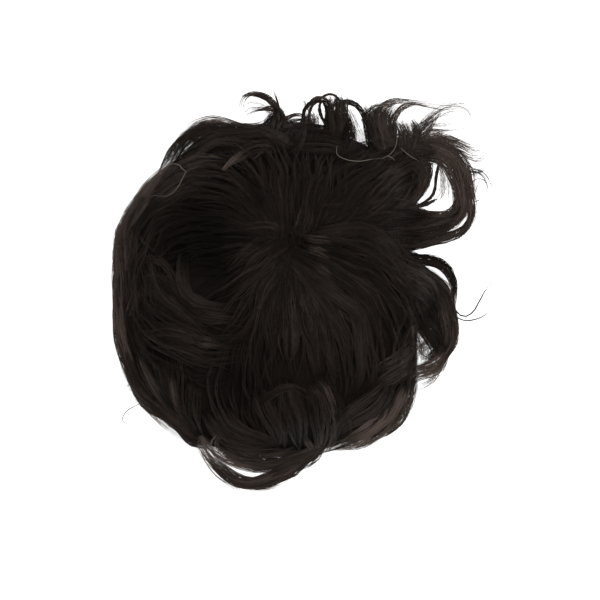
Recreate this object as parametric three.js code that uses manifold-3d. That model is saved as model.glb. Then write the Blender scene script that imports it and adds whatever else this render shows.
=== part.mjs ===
// A hair patch, the short wavy hairpiece that covers a thin crown, lying on a flat surface.
// Units are millimetres and degrees. +Z is up and the wearer's forehead is toward -Y.
// Plan positions are measured from the middle of the base.
import * as THREE from "three";
import { mergeVertices } from "three/addons/utils/BufferGeometryUtils.js";
import loadManifold from "manifold-3d";

// The net base: a shallow dome with an oval rim
const BASE_HALF_WIDTH = 70;
const BASE_HALF_LENGTH = 90;
const BASE_HEIGHT = 40;
const BASE_WALL = 1.5;
const BASE_BALL_ANGLE = 58;
const BASE_RINGS = 7;
const BASE_SIDES = 32;
const FIT_GAP = 0.3;
const CUT_BELOW_SHARE = 0.1;

// The coat: the packed hair under the locks
const HAIR_HEIGHT = 62;
const COAT_DROP = 6;
const COAT_THINNEST = 0.5;
const CROWN_FLATNESS = 2.4;
const SIDE_ROUNDNESS = 0.5;
const COAT_RINGS = [1, 0.98, 0.92, 0.82, 0.68, 0.48, 0.24, 0];
const COAT_SIDES = 36;
const WHORL_X = 0;
const WHORL_Y = 17;
const WHORL_RADIUS = 20;

// The locks: flattened tapering bundles that lie on the coat
const LOCK_SIDES = 6;
const LOCK_FEWEST_STEPS = 4;
const LOCK_TURN_PER_STEP = 42;
const LOCK_SINK = 2;
const LOCK_ROOT_SHARE = 0.6;
const LOCK_TIP_SHARE = 0.3;
const LOCK_SWELL_END = 0.3;
const LOCK_TAPER_START = 0.5;
const LOCK_LIFT_END = 0.85;
const PATH_STEPS_PER_SPAN = 6;
const DRAPE_REACH = 9;
const DRAPE_RING = [0, 60, 120, 180, 240, 300];
const SLOPE_STEP = 1;
const STEEPEST_SLOPE = 1.2;
const SMALLEST = 1e-6;
const MERGE_DISTANCE = 1e-3;

// Reach of the coat from the middle of the base, one row for each direction
const REACH_COLUMNS = ["direction", "reach"];
const REACH_ROWS = [
  [0, 92],
  [20, 73],
  [40, 106],
  [60, 103],
  [80, 103],
  [100, 104],
  [120, 112],
  [140, 105],
  [160, 109],
  [180, 111],
  [200, 114],
  [220, 115],
  [240, 114],
  [260, 110],
  [280, 106],
  [300, 105],
  [320, 100],
  [340, 84],
];

// Round rises and dips of the hair, one row for each
const RELIEF_COLUMNS = ["name", "x", "y", "radius", "rise"];
const RELIEF_ROWS = [
  ["left_hollow", -61, 36, 17, -26],
  ["left_hollow_middle", -54, 15, 11, -19],
  ["left_hollow_front", -49, -4, 9, -10],
  ["left_hollow_side", -77, 24, 9, -14],
  ["left_hollow_back", -38, 54, 11, -8],
  ["left_wave", -82, -4, 16, 7],
  ["crown_dimple", 4, 18, 10, -3],
  ["front_roll", 5, -70, 22, 6],
  ["front_left_dip", -36, -60, 17, -11],
  ["front_right_dip", 46, -62, 12, -6],
  ["side_dip", -83, -20, 10, -7],
  ["back_wave", -6, 92, 14, 4],
  ["back_right_dip", 26, 90, 13, -7],
  ["right_wave", 74, 2, 20, 6],
];

// One row for each lock: the plan place of its root, the direction it leaves in (0 is +X,
// 90 is +Y), its length, its turn in degrees per 100 mm at the root (bend) and at the tip
// (curl), its width and thickness, and how far it is lifted off the coat
const LOCK_COLUMNS = [
  "name", "x", "y", "heading", "length", "bend", "curl", "width", "thickness", "lift",
];
const LOCK_ROWS = [
  // Hair that runs back from the crown
  ["back_left", -11, 34, 102, 84, 30, 150, 24, 10, 1],
  ["back_middle", -3, 36, 95, 68, 0, 20, 22, 10, 2],
  ["back_right", 8, 36, 86, 66, -10, 0, 22, 10, 1],
  ["back_far_right", 18, 36, 78, 62, -15, -20, 22, 10, 2],
  ["back_sweep_upper", 28, 36, 62, 72, -60, -70, 22, 10, 1],
  ["back_sweep_lower", 35, 38, 45, 58, -70, -85, 20, 10, 2],
  // Hair that runs to the right and then forward
  ["right_outer", 18, 31, 14, 108, -70, -120, 22, 10, 3],
  ["right_middle", 16, 25, -2, 91, -60, -150, 22, 10, 1],
  ["right_inner", 16, 16, -22, 89, -60, -140, 22, 10, 2],
  ["front_right_outer", 14, 7, -32, 97, -60, -125, 20, 10, 3],
  ["front_right_inner", 9, 1, -50, 80, -40, -110, 20, 10, 1],
  // Hair that runs forward
  ["front_middle", 5, -2, -68, 62, -30, -50, 20, 10, 2],
  ["front_straight", -1, -3, -86, 56, 0, -20, 22, 10, 1],
  ["front_left_inner", -7, -1, -105, 60, 10, 30, 22, 10, 1],
  ["front_left_outer", -13, 4, -128, 60, -20, 40, 22, 10, 1],
  // Hair that runs to the left and then forward
  ["left_inner", -18, 12, -150, 50, 0, 40, 22, 10, 0],
  ["left_hollow", -19, 22, 178, 57, 20, 160, 24, 10, 0],
  ["left_middle", -20, 31, 172, 98, 30, 140, 26, 10, 1],
  ["left_upper", -16, 36, 140, 104, 70, 135, 26, 10, 1],
  ["left_back", -14, 38, 120, 98, 80, 165, 26, 10, 2],
  // Locks along the left edge
  ["edge_left_upper", -47, 70, 188, 96, 75, 90, 26, 11, 2],
  ["edge_back_left", -26, 85, 165, 72, 75, 185, 20, 10, 1],
  ["edge_left", -78, 45, 238, 100, 40, 50, 26, 11, 1],
  ["wave_left_upper", -88, 24, 275, 86, 110, 65, 22, 11, 4],
  ["wave_left_lower", -99, -2, 285, 90, 110, 60, 22, 11, 3],
  ["edge_left_lower", -103, 1, 266, 108, 45, 55, 20, 11, 1],
  ["front_left_tail", -92, -39, 292, 66, 20, 55, 20, 10, 3],
  ["front_left_knot", -69, -47, 268, 46, 30, 60, 20, 10, 2],
  // Locks across the front
  ["front_fill_left", -34, -36, 250, 71, 60, 150, 22, 10, 0],
  ["front_fill_cross", -66, -46, 350, 34, -20, -60, 18, 10, 0],
  ["front_fill_middle", -22, -39, 262, 70, 30, 140, 22, 10, 0],
  ["front_hang_left", -8, -66, 262, 46, 20, 60, 20, 10, 0],
  ["front_hang_right", 8, -66, 276, 46, 0, -40, 20, 10, 0],
  ["front_roll", 30, -82, 112, 78, 210, 160, 18, 11, 6],
  ["front_roll_end", 20, -58, -62, 51, -60, -190, 16, 10, 2],
  ["edge_front_right", 75, -40, 266, 94, -85, -60, 20, 10, 1],
  ["front_crescent", 28, -92, 222, 90, 0, -200, 11, 8, 0],
  ["front_strands", -55, -100, 336, 68, 45, 45, 14, 7, 0],
  // Locks along the right edge
  ["right_fall", 78, -8, 272, 58, -60, -160, 18, 10, 2],
  ["right_bulge_upper", 63, 20, 4, 56, -80, -260, 8, 8, 0],
  ["right_bulge_lower", 84, 4, -52, 76, -110, -210, 20, 11, 0],
  // The open curl behind the right side
  ["open_curl", 26, 33, -8, 130, 0, 250, 20, 12, 2],
  ["open_curl_root", 41, 45, -3, 64, 0, 60, 16, 10, 1],
  ["open_curl_top", 52, 70, 22, 70, -40, -200, 20, 10, 1],
  ["open_curl_strand", 63, 51, 5, 38, 100, 330, 4, 4, 4],
  ["back_tuft_left", 53, 72, 84, 44, -10, -120, 18, 10, 1],
  ["back_tuft_right", 64, 72, 60, 42, -60, -100, 20, 10, 1],
  // Small curls along the back edge
  ["back_edge", 2, 93, 172, 56, 5, 30, 14, 10, 0],
  ["back_hook", -4, 88, 88, 52, 20, 560, 9, 7, 2],
  ["back_loop_left", 28, 92, 92, 46, 0, 800, 4, 5, 3],
  ["back_loop_right", 11, 98, 108, 34, -250, -700, 3, 4, 3],
  ["back_arch", 50, 94, 104, 38, 80, 500, 4, 5, 3],
];

// Finishes
const NET_FINISH = { color: 0x3a2f28, roughness: 0.85, metalness: 0 };
const HAIR_FINISH = { color: 0x1e1a17, roughness: 0.5, metalness: 0 };

const reachTable = namedRows(REACH_COLUMNS, REACH_ROWS);
const reliefTable = namedRows(RELIEF_COLUMNS, RELIEF_ROWS);
const lockTable = namedRows(LOCK_COLUMNS, LOCK_ROWS);

const manifold = await loadManifold();
manifold.setup();

function namedRows(columns, rows) {
  return rows.map((row) => Object.fromEntries(columns.map((name, i) => [name, row[i]])));
}

function degreesToRadians(angle) {
  return (angle * Math.PI) / 180;
}

// Rises smoothly from 0 to 1 as value goes from 0 to 1
function smoothRise(value) {
  const t = Math.min(Math.max(value, 0), 1);
  return t * t * (3 - 2 * t);
}

// How far the coat reaches in a direction, blended smoothly between the table's rows
function coatReach(angle) {
  const step = 360 / reachTable.length;
  const turn = (((angle % 360) + 360) % 360) / step;
  const row = Math.floor(turn) % reachTable.length;
  const next = (row + 1) % reachTable.length;
  const share = smoothRise(turn - Math.floor(turn));
  return reachTable[row].reach * (1 - share) + reachTable[next].reach * share;
}

// Height of the hair's surface over a point of the plan, 0 beyond the coat
function hairHeight(x, y) {
  const angle = (Math.atan2(y, x) * 180) / Math.PI;
  const share = Math.min(Math.hypot(x, y) / coatReach(angle), 1);
  const dome = Math.pow(1 - Math.pow(share, CROWN_FLATNESS), SIDE_ROUNDNESS);
  let height = HAIR_HEIGHT * dome;
  for (const { x: reliefX, y: reliefY, radius, rise } of reliefTable) {
    const distance = Math.hypot(x - reliefX, y - reliefY) / radius;
    height += rise * Math.exp(-distance * distance) * dome;
  }
  return height;
}

// The same height averaged over a small ring, which is how a springy lock lies over it
function drapeHeight(x, y) {
  let sum = hairHeight(x, y);
  for (const angle of DRAPE_RING.map(degreesToRadians)) {
    sum += hairHeight(x + DRAPE_REACH * Math.cos(angle), y + DRAPE_REACH * Math.sin(angle));
  }
  return sum / (DRAPE_RING.length + 1);
}

// Direction that points out of the draped surface, no flatter than the steepest slope
function drapeNormal(x, y) {
  const riseX = drapeHeight(x + SLOPE_STEP, y) - drapeHeight(x - SLOPE_STEP, y);
  const riseY = drapeHeight(x, y + SLOPE_STEP) - drapeHeight(x, y - SLOPE_STEP);
  const slopeX = riseX / (2 * SLOPE_STEP);
  const slopeY = riseY / (2 * SLOPE_STEP);
  const ease = Math.min(1, STEEPEST_SLOPE / Math.max(Math.hypot(slopeX, slopeY), SMALLEST));
  return new THREE.Vector3(-slopeX * ease, -slopeY * ease, 1).normalize();
}

// The base's arc from its top to its rim, in shares of its half sizes and height
function domeArc(grow) {
  const arc = [];
  const floor = Math.cos(degreesToRadians(BASE_BALL_ANGLE));
  for (let ring = 0; ring <= BASE_RINGS; ring += 1) {
    const angle = degreesToRadians((BASE_BALL_ANGLE * ring) / BASE_RINGS);
    const radius = Math.sin(angle) / Math.sin(degreesToRadians(BASE_BALL_ANGLE));
    const rise = (Math.cos(angle) - floor) / (1 - floor);
    arc.push({ radius, rise, grow });
  }
  return arc;
}

// Spins a profile of shares into an oval dome, each point moved out by its own growth
function ovalLathe(profile, sides) {
  const points = profile.map(({ radius }, index) => new THREE.Vector2(radius, index));
  const geometry = new THREE.LatheGeometry(points, sides);
  const position = geometry.attributes.position;
  for (let i = 0; i < position.count; i += 1) {
    const { radius, rise, grow } = profile[Math.round(position.getY(i))];
    const angle = Math.atan2(position.getX(i), position.getZ(i));
    const onAxis = radius < SMALLEST;
    const x = onAxis ? 0 : radius * (BASE_HALF_WIDTH + grow) * Math.sin(angle);
    const y = onAxis ? 0 : -radius * (BASE_HALF_LENGTH + grow) * Math.cos(angle);
    position.setXYZ(i, x, y, rise * (BASE_HEIGHT + grow));
  }
  return geometry;
}

// The net base, open underneath, with a flat rim all round
function baseGeometry() {
  const inside = domeArc(-BASE_WALL);
  const outside = domeArc(0).reverse();
  return ovalLathe([...inside, ...outside], BASE_SIDES);
}

// The space that the base and its fit take out of the hair
function baseSpaceGeometry() {
  const outside = domeArc(FIT_GAP).reverse();
  const below = { radius: 1, rise: -CUT_BELOW_SHARE, grow: FIT_GAP };
  const middle = { radius: 0, rise: -CUT_BELOW_SHARE, grow: FIT_GAP };
  return ovalLathe([middle, below, ...outside], BASE_SIDES);
}

// How far the coat lies under the hair's surface: it comes up between the roots at the whorl
function coatDrop(x, y) {
  const distance = Math.hypot(x - WHORL_X, y - WHORL_Y) / WHORL_RADIUS;
  return COAT_DROP * (1 - Math.exp(-distance * distance));
}

// The coat: flat where it lies on the surface, rounded over the top
function coatGeometry() {
  const points = [new THREE.Vector2(0, 0), ...COAT_RINGS.map((share) => new THREE.Vector2(share, 1))];
  const geometry = new THREE.LatheGeometry(points, COAT_SIDES);
  const position = geometry.attributes.position;
  for (let i = 0; i < position.count; i += 1) {
    const share = Math.hypot(position.getX(i), position.getZ(i));
    const angle = Math.atan2(-position.getZ(i), position.getX(i));
    const radius = share * coatReach((angle * 180) / Math.PI);
    const x = radius * Math.cos(angle);
    const y = radius * Math.sin(angle);
    const onTop = position.getY(i) > 0.5 && share < 0.999;
    const height = onTop ? Math.max(hairHeight(x, y) - coatDrop(x, y), COAT_THINNEST) : 0;
    position.setXYZ(i, x, y, height);
  }
  return geometry;
}

// Share of a lock's full width at a point along it
function lockTaper(along) {
  const swell = LOCK_ROOT_SHARE + (1 - LOCK_ROOT_SHARE) * smoothRise(along / LOCK_SWELL_END);
  const tail = smoothRise((along - LOCK_TAPER_START) / (1 - LOCK_TAPER_START));
  return swell * (1 - (1 - LOCK_TIP_SHARE) * tail);
}

// Sections along a lock, more where it turns further
function lockSteps(lock) {
  const turn = ((lock.length / 100) * Math.abs(lock.bend + lock.curl)) / 2;
  return LOCK_FEWEST_STEPS + Math.ceil(turn / LOCK_TURN_PER_STEP);
}

// Middle line of a lock: its turn grows smoothly from bend to curl, and it lies on the hair
function lockPath(lock) {
  const count = lockSteps(lock) * PATH_STEPS_PER_SPAN;
  const stride = lock.length / count;
  const path = [];
  let x = lock.x;
  let y = lock.y;
  for (let i = 0; i <= count; i += 1) {
    const along = i / count;
    const rest = (lock.thickness * lockTaper(along)) / 2;
    const lying = drapeHeight(x, y) - LOCK_SINK;
    const lifted = lock.lift * Math.sin(Math.PI * Math.min(along / LOCK_LIFT_END, 1));
    path.push(new THREE.Vector3(x, y, Math.max(lying, rest) + lifted));
    const middle = (i + 0.5) / count;
    const turned = lock.bend * middle + (lock.curl - lock.bend) * (middle ** 3 - middle ** 4 / 2);
    const heading = degreesToRadians(lock.heading + (lock.length / 100) * turned);
    x += stride * Math.cos(heading);
    y += stride * Math.sin(heading);
  }
  return path;
}

// A lock: a six-sided bar bent along its middle line and flattened onto the hair
function lockGeometry(lock) {
  const path = lockPath(lock);
  const geometry = new THREE.CylinderGeometry(1, 1, 1, LOCK_SIDES, lockSteps(lock));
  const position = geometry.attributes.position;
  const point = new THREE.Vector3();
  for (let i = 0; i < position.count; i += 1) {
    const along = position.getY(i) + 0.5;
    const step = Math.round(along * (path.length - 1));
    const before = path[Math.max(step - 1, 0)];
    const after = path[Math.min(step + 1, path.length - 1)];
    const tangent = after.clone().sub(before).normalize();
    const outward = drapeNormal(path[step].x, path[step].y);
    outward.addScaledVector(tangent, -outward.dot(tangent)).normalize();
    const sideways = tangent.clone().cross(outward);
    const taper = lockTaper(along) / 2;
    point.copy(path[step]);
    point.addScaledVector(sideways, position.getX(i) * lock.width * taper);
    point.addScaledVector(outward, position.getZ(i) * lock.thickness * taper);
    position.setXYZ(i, point.x, point.y, Math.max(point.z, 0));
  }
  return geometry;
}

// A closed three.js geometry as a solid that can be joined and cut
function solidOf(geometry) {
  geometry.deleteAttribute("normal");
  geometry.deleteAttribute("uv");
  const merged = mergeVertices(geometry, MERGE_DISTANCE);
  const vertProperties = new Float32Array(merged.attributes.position.array);
  const corners = Array.from(merged.index.array);
  const whole = [];
  for (let i = 0; i < corners.length; i += 3) {
    const [a, b, c] = corners.slice(i, i + 3);
    if (a !== b && b !== c && c !== a) {
      whole.push(a, b, c);
    }
  }
  const triVerts = new Uint32Array(whole);
  return new manifold.Manifold(new manifold.Mesh({ numProp: 3, vertProperties, triVerts }));
}

// A solid back as a three.js geometry
function geometryOf(solid) {
  const { vertProperties, triVerts } = solid.getMesh();
  const geometry = new THREE.BufferGeometry();
  geometry.setAttribute("position", new THREE.BufferAttribute(vertProperties, 3));
  geometry.setIndex(new THREE.BufferAttribute(triVerts, 1));
  geometry.computeVertexNormals();
  return geometry;
}

// The outer shell of a solid, with the small pockets shut in between its locks filled
function withoutPockets(solid) {
  const shells = solid.decompose();
  return shells.reduce((largest, shell) => (shell.volume() > largest.volume() ? shell : largest));
}

// All the hair: the coat with every lock joined to it, hollowed over the base
function hairGeometry() {
  let solid = solidOf(coatGeometry());
  for (const lock of lockTable) {
    solid = solid.add(solidOf(lockGeometry(lock)));
  }
  solid = solid.subtract(solidOf(baseSpaceGeometry()));
  return geometryOf(withoutPockets(solid));
}

function namedMesh(name, geometry, finish) {
  const mesh = new THREE.Mesh(geometry, new THREE.MeshStandardMaterial(finish));
  mesh.name = name;
  return mesh;
}

const base = namedMesh("base_cap", baseGeometry(), NET_FINISH);
const hair = namedMesh("hair", hairGeometry(), HAIR_FINISH);

// The origin is the middle of the whole patch, on the surface that it lies on
const patch = new THREE.Group();
patch.add(base, hair);
const outline = new THREE.Box3().setFromObject(patch);
const middle = outline.getCenter(new THREE.Vector3());
patch.position.set(-middle.x, -middle.y, -outline.min.z);

const assembly = new THREE.Group();
assembly.add(patch);

export default assembly;
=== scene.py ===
# %% [markdown]
# A hair patch, dressed
#
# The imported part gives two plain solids: a thin domed base and one solid for all the hair. This
# lesson dresses them. The base becomes a smooth net dome, and the hair becomes a dark under-coat
# with many thousand separate hairs laid over it in locks. The frame is loaded first, because every
# piece is made in its coordinates, in metres.

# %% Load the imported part
import math

import bmesh
import bpy
import numpy as np
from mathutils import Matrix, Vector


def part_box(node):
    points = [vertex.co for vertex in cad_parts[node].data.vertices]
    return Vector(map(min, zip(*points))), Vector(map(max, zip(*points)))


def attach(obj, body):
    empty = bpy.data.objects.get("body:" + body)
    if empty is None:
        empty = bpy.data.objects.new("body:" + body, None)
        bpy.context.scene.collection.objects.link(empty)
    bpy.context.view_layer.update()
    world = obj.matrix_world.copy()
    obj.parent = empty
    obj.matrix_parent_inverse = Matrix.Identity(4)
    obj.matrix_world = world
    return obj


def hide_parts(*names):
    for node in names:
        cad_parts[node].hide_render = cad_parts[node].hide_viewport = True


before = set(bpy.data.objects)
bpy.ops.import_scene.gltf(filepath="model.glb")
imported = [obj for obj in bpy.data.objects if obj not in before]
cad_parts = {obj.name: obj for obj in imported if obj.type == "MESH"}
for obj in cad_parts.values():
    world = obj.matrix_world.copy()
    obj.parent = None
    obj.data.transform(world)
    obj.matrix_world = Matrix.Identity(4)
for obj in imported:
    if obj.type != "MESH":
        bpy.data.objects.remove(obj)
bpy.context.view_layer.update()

base_low, base_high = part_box("base_cap")
MM = 0.001
PLAN_MIDDLE = (base_low + base_high) / 2
BASE_HALF_WIDTH = (base_high.x - base_low.x) / 2 / MM
BASE_HALF_LENGTH = (base_high.y - base_low.y) / 2 / MM
BASE_HEIGHT = base_high.z / MM
print("base half sizes in mm:", BASE_HALF_WIDTH, BASE_HALF_LENGTH, BASE_HEIGHT)

# %% [markdown]
# The lie of the hair
#
# Hair follows a form before it shows strands. The form is a height over the plan: a dome that falls
# to the surface at a reach that differs by direction, with a few round rises and dips, such as the
# deep hollow at the left. It could be sculpted, but a small function can be asked for the height
# anywhere, and every hair will ask it. Lengths here are millimetres from the middle of the base.

# %% The form of the hair as a height over the plan
HAIR_HEIGHT = 62
CROWN_FLATNESS = 2.4
SIDE_ROUNDNESS = 0.5
CROWN = (0.0, 30.0)
REACH_STEP = 20
REACH = np.array([92, 73, 106, 103, 103, 104, 112, 105, 109, 111, 114, 115, 114, 110, 106, 105, 100, 84])
RELIEF_COLUMNS = ("name", "x", "y", "radius", "rise")
RELIEF_ROWS = [
    ("left_hollow", -61, 36, 17, -26),
    ("left_hollow_middle", -54, 15, 11, -19),
    ("left_hollow_front", -49, -4, 9, -10),
    ("left_hollow_side", -77, 24, 9, -14),
    ("left_hollow_back", -38, 54, 11, -8),
    ("left_wave", -82, -4, 16, 7),
    ("crown_dimple", 4, 18, 10, -3),
    ("front_roll", 5, -70, 22, 6),
    ("front_left_dip", -36, -60, 17, -11),
    ("front_right_dip", 46, -62, 12, -6),
    ("side_dip", -83, -20, 10, -7),
    ("back_wave", -6, 92, 14, 4),
    ("back_right_dip", 26, 90, 13, -7),
    ("right_wave", 74, 2, 20, 6),
]


def smooth_rise(value):
    """Rises smoothly from 0 to 1 as value goes from 0 to 1."""
    t = np.clip(value, 0, 1)
    return t * t * (3 - 2 * t)


def coat_reach(angle):
    """How far the hair reaches in a direction, blended smoothly between the directions given."""
    turn = np.mod(angle, 360) / REACH_STEP
    row = np.floor(turn).astype(int)
    share = smooth_rise(turn - row)
    return REACH[row % len(REACH)] * (1 - share) + REACH[(row + 1) % len(REACH)] * share


def hair_form(x, y):
    """Height of the plain dome over a point of the plan, and the rise or dip on it."""
    share = np.minimum(np.hypot(x, y) / coat_reach(np.degrees(np.arctan2(y, x))), 1)
    dome = (1 - share**CROWN_FLATNESS) ** SIDE_ROUNDNESS
    rise = np.zeros_like(dome)
    for row in RELIEF_ROWS:
        relief = dict(zip(RELIEF_COLUMNS, row))
        distance = np.hypot(x - relief["x"], y - relief["y"]) / relief["radius"]
        rise = rise + relief["rise"] * np.exp(-(distance**2)) * dome
    return HAIR_HEIGHT * dome, rise


def hair_height(x, y):
    """Height of the hair's surface over a point of the plan, 0 beyond the hair's reach."""
    dome, rise = hair_form(x, y)
    return dome + rise


print("crown height:", round(float(hair_height(*CROWN)), 1), "mm")

# %% [markdown]
# How a springy lock lies
#
# A lock doesn't follow every small dip. Averaging the height over a small ring gives the softer
# surface that it drapes on, and the slope of that surface says which way is outward.

# %% Draped height and outward direction
DRAPE_REACH = 9
DRAPE_ANGLES = np.radians(np.arange(0, 360, 60))
SLOPE_STEP = 1
STEEPEST_SLOPE = 1.2
LEAST_SLOPE = 1e-6


def drape_height(x, y):
    """The hair's height averaged over a small ring, which is how a springy lock lies over it."""
    total = hair_height(x, y)
    for angle in DRAPE_ANGLES:
        total = total + hair_height(x + DRAPE_REACH * math.cos(angle), y + DRAPE_REACH * math.sin(angle))
    return total / (len(DRAPE_ANGLES) + 1)


def unit(vectors):
    """Vectors scaled to a length of 1."""
    return vectors / np.linalg.norm(vectors, axis=-1, keepdims=True)


def drape_normal(x, y):
    """Direction that points out of the draped surface, taken as no steeper than the steepest slope."""
    slope_x = (drape_height(x + SLOPE_STEP, y) - drape_height(x - SLOPE_STEP, y)) / (2 * SLOPE_STEP)
    slope_y = (drape_height(x, y + SLOPE_STEP) - drape_height(x, y - SLOPE_STEP)) / (2 * SLOPE_STEP)
    ease = np.minimum(1, STEEPEST_SLOPE / np.maximum(np.hypot(slope_x, slope_y), LEAST_SLOPE))
    return unit(np.stack([-slope_x * ease, -slope_y * ease, np.ones_like(slope_x)], axis=-1))


print("drape at the crown:", round(float(drape_height(*CROWN)), 1), "mm")

# %% [markdown]
# The locks
#
# The hair is dressed lock by lock, as a barber would part it. A row gives the plan place of a lock's
# root, the direction it leaves in (0 is to the right, 90 to the back), its length, its turn in
# degrees per 100 mm at the root (bend) and at the tip (curl), its width and thickness, and its lift
# off the rest. These rows are shared with the part's own solid, so the hairs fill the form it has. The
# part's curls at the edge are left out here, because they are drawn by points further on.

# %% One row for each lock
LOCK_COLUMNS = ("name", "x", "y", "heading", "length", "bend", "curl", "width", "thickness", "lift")
LOCKS_BY_PIECE = {
    "hair_back": [
        ("back_left", -11, 34, 102, 84, 30, 150, 24, 10, 1),
        ("back_middle", -3, 36, 95, 68, 0, 20, 22, 10, 2),
        ("back_right", 8, 36, 86, 66, -10, 0, 22, 10, 1),
        ("back_far_right", 18, 36, 78, 62, -15, -20, 22, 10, 2),
        ("back_sweep_upper", 28, 36, 62, 72, -60, -70, 22, 10, 1),
        ("back_sweep_lower", 35, 38, 45, 58, -70, -85, 20, 10, 2),
    ],
    "hair_right": [
        ("right_outer", 18, 31, 14, 108, -70, -120, 22, 10, 3),
        ("right_middle", 16, 25, -2, 91, -60, -150, 22, 10, 1),
        ("right_inner", 16, 16, -22, 89, -60, -140, 22, 10, 2),
        ("front_right_outer", 14, 7, -32, 97, -60, -125, 20, 10, 3),
        ("front_right_inner", 9, 1, -50, 80, -40, -110, 20, 10, 1),
        ("right_fall", 78, -8, 272, 58, -60, -160, 18, 10, 2),
    ],
    "hair_open_curl": [
        ("open_curl_root", 41, 45, -3, 64, 0, 60, 16, 10, 1),
    ],
    "hair_front": [
        ("front_middle", 5, -2, -68, 62, -30, -50, 20, 10, 2),
        ("front_straight", -1, -3, -86, 56, 0, -20, 22, 10, 1),
        ("front_left_inner", -7, -1, -105, 60, 10, 30, 22, 10, 1),
        ("front_left_outer", -13, 4, -128, 60, -20, 40, 22, 10, 1),
        ("front_fill_left", -34, -36, 250, 71, 60, 150, 22, 10, 0),
        ("front_fill_cross", -66, -46, 350, 34, -20, -60, 18, 10, 0),
        ("front_fill_middle", -22, -39, 262, 70, 30, 140, 22, 10, 0),
        ("front_hang_left", -8, -66, 262, 46, 20, 60, 20, 10, 0),
        ("front_hang_right", 8, -66, 276, 46, 0, -40, 20, 10, 0),
    ],
    "hair_front_edge": [
        ("front_roll_end", 20, -58, -62, 51, -60, -190, 16, 10, 2),
        ("edge_front_right", 75, -40, 266, 94, -85, -60, 20, 10, 1),
        ("front_left_tail", -92, -39, 292, 66, 20, 55, 20, 10, 3),
        ("front_left_knot", -69, -47, 268, 46, 30, 60, 20, 10, 2),
    ],
    "hair_left": [
        ("left_inner", -18, 12, -150, 50, 0, 40, 22, 10, 0),
        ("left_hollow", -19, 22, 178, 57, 20, 160, 24, 10, 0),
        ("left_middle", -20, 31, 172, 98, 30, 140, 26, 10, 1),
        ("left_upper", -16, 36, 140, 104, 70, 135, 26, 10, 1),
        ("left_back", -14, 38, 120, 98, 80, 165, 26, 10, 2),
    ],
    "hair_left_edge": [
        ("edge_left_upper", -47, 70, 188, 96, 75, 90, 26, 11, 2),
        ("edge_back_left", -26, 85, 165, 72, 75, 185, 20, 10, 1),
        ("edge_left", -78, 45, 238, 100, 40, 50, 26, 11, 1),
        ("wave_left_upper", -88, 24, 275, 86, 110, 65, 22, 11, 4),
        ("wave_left_lower", -99, -2, 285, 90, 110, 60, 22, 11, 3),
        ("edge_left_lower", -103, 1, 266, 108, 45, 55, 20, 11, 1),
    ],
}
print("locks:", sum(len(rows) for rows in LOCKS_BY_PIECE.values()))

# %% [markdown]
# The under-coat
#
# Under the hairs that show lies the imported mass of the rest, and it must be dark and closed, or the
# floor would shine through. A ball has the right plan for it: its upper half is moved onto the hair's
# form, a little below it, and its lower half is turned in over the base as the hollow's roof. A
# Shrinkwrap could do this too, but moving each vertex by the height function gives no folds.

# %% Make the under-coat from a ball
COAT_DROP = 6
COAT_INSET = 0.985
COAT_AROUND = 160
COAT_RINGS = 72
BASE_GAP = 0.4
BASE_BALL_ANGLE = math.radians(58)
EDGE_SHARE = 0.999
FLOOR_RING_SHARE = 0.18


def dome_rise(share):
    """Height share of the base's dome at a share of the way out to its rim."""
    angle = np.arcsin(np.clip(share, 0, 1) * math.sin(BASE_BALL_ANGLE))
    rim = math.cos(BASE_BALL_ANGLE)
    return (np.cos(angle) - rim) / (1 - rim)


def coat_point(ball_x, ball_y, ball_z):
    """Where a point of the unit ball goes on the under-coat."""
    angle = math.atan2(ball_y, ball_x)
    tilt = math.acos(max(-1.0, min(1.0, ball_z))) / (math.pi / 2)
    reach = float(coat_reach(np.degrees(angle))) * COAT_INSET
    if tilt <= 1:
        share = math.sin(tilt * math.pi / 2)
        x, y = share * reach * math.cos(angle), share * reach * math.sin(angle)
        top = float(min(hair_height(x, y), drape_height(x, y))) - COAT_DROP
        return x, y, max(top, 0.0) if share < EDGE_SHARE else 0.0
    inward = (tilt - 1) / FLOOR_RING_SHARE
    rim_x = (BASE_HALF_WIDTH + BASE_GAP) * math.cos(angle)
    rim_y = (BASE_HALF_LENGTH + BASE_GAP) * math.sin(angle)
    if inward <= 1:
        x = reach * math.cos(angle) * (1 - inward) + rim_x * inward
        y = reach * math.sin(angle) * (1 - inward) + rim_y * inward
        return x, y, 0.0
    share = (2 - tilt) / (1 - FLOOR_RING_SHARE)
    return rim_x * share, rim_y * share, float(dome_rise(share)) * (BASE_HEIGHT + BASE_GAP)


def in_frame(x, y, z):
    """A point in millimetres from the middle of the base, as metres in the frame."""
    return (PLAN_MIDDLE.x + x * MM, PLAN_MIDDLE.y + y * MM, z * MM)


def add_object(name, data):
    """Puts a mesh, a light or a camera in the scene under a name."""
    item = bpy.data.objects.new(name, data)
    bpy.context.scene.collection.objects.link(item)
    return item


def add_piece(name, mesh):
    """Puts a mesh in the scene as a named piece that rides the part's one body."""
    piece = add_object(name, mesh)
    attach(piece, "root")
    return piece


def finish_bmesh(bm, name):
    """Turns a bmesh into a smooth-shaded piece."""
    mesh = bpy.data.meshes.new(name)
    bmesh.ops.recalc_face_normals(bm, faces=bm.faces)
    bm.to_mesh(mesh)
    bm.free()
    mesh.shade_smooth()
    return add_piece(name, mesh)


bm = bmesh.new()
bmesh.ops.create_uvsphere(bm, u_segments=COAT_AROUND, v_segments=COAT_RINGS, radius=1)
for vert in bm.verts:
    vert.co = in_frame(*coat_point(*vert.co))
under_coat = finish_bmesh(bm, "under_coat")
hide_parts("hair")
print("under-coat faces:", len(under_coat.data.polygons))

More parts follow.
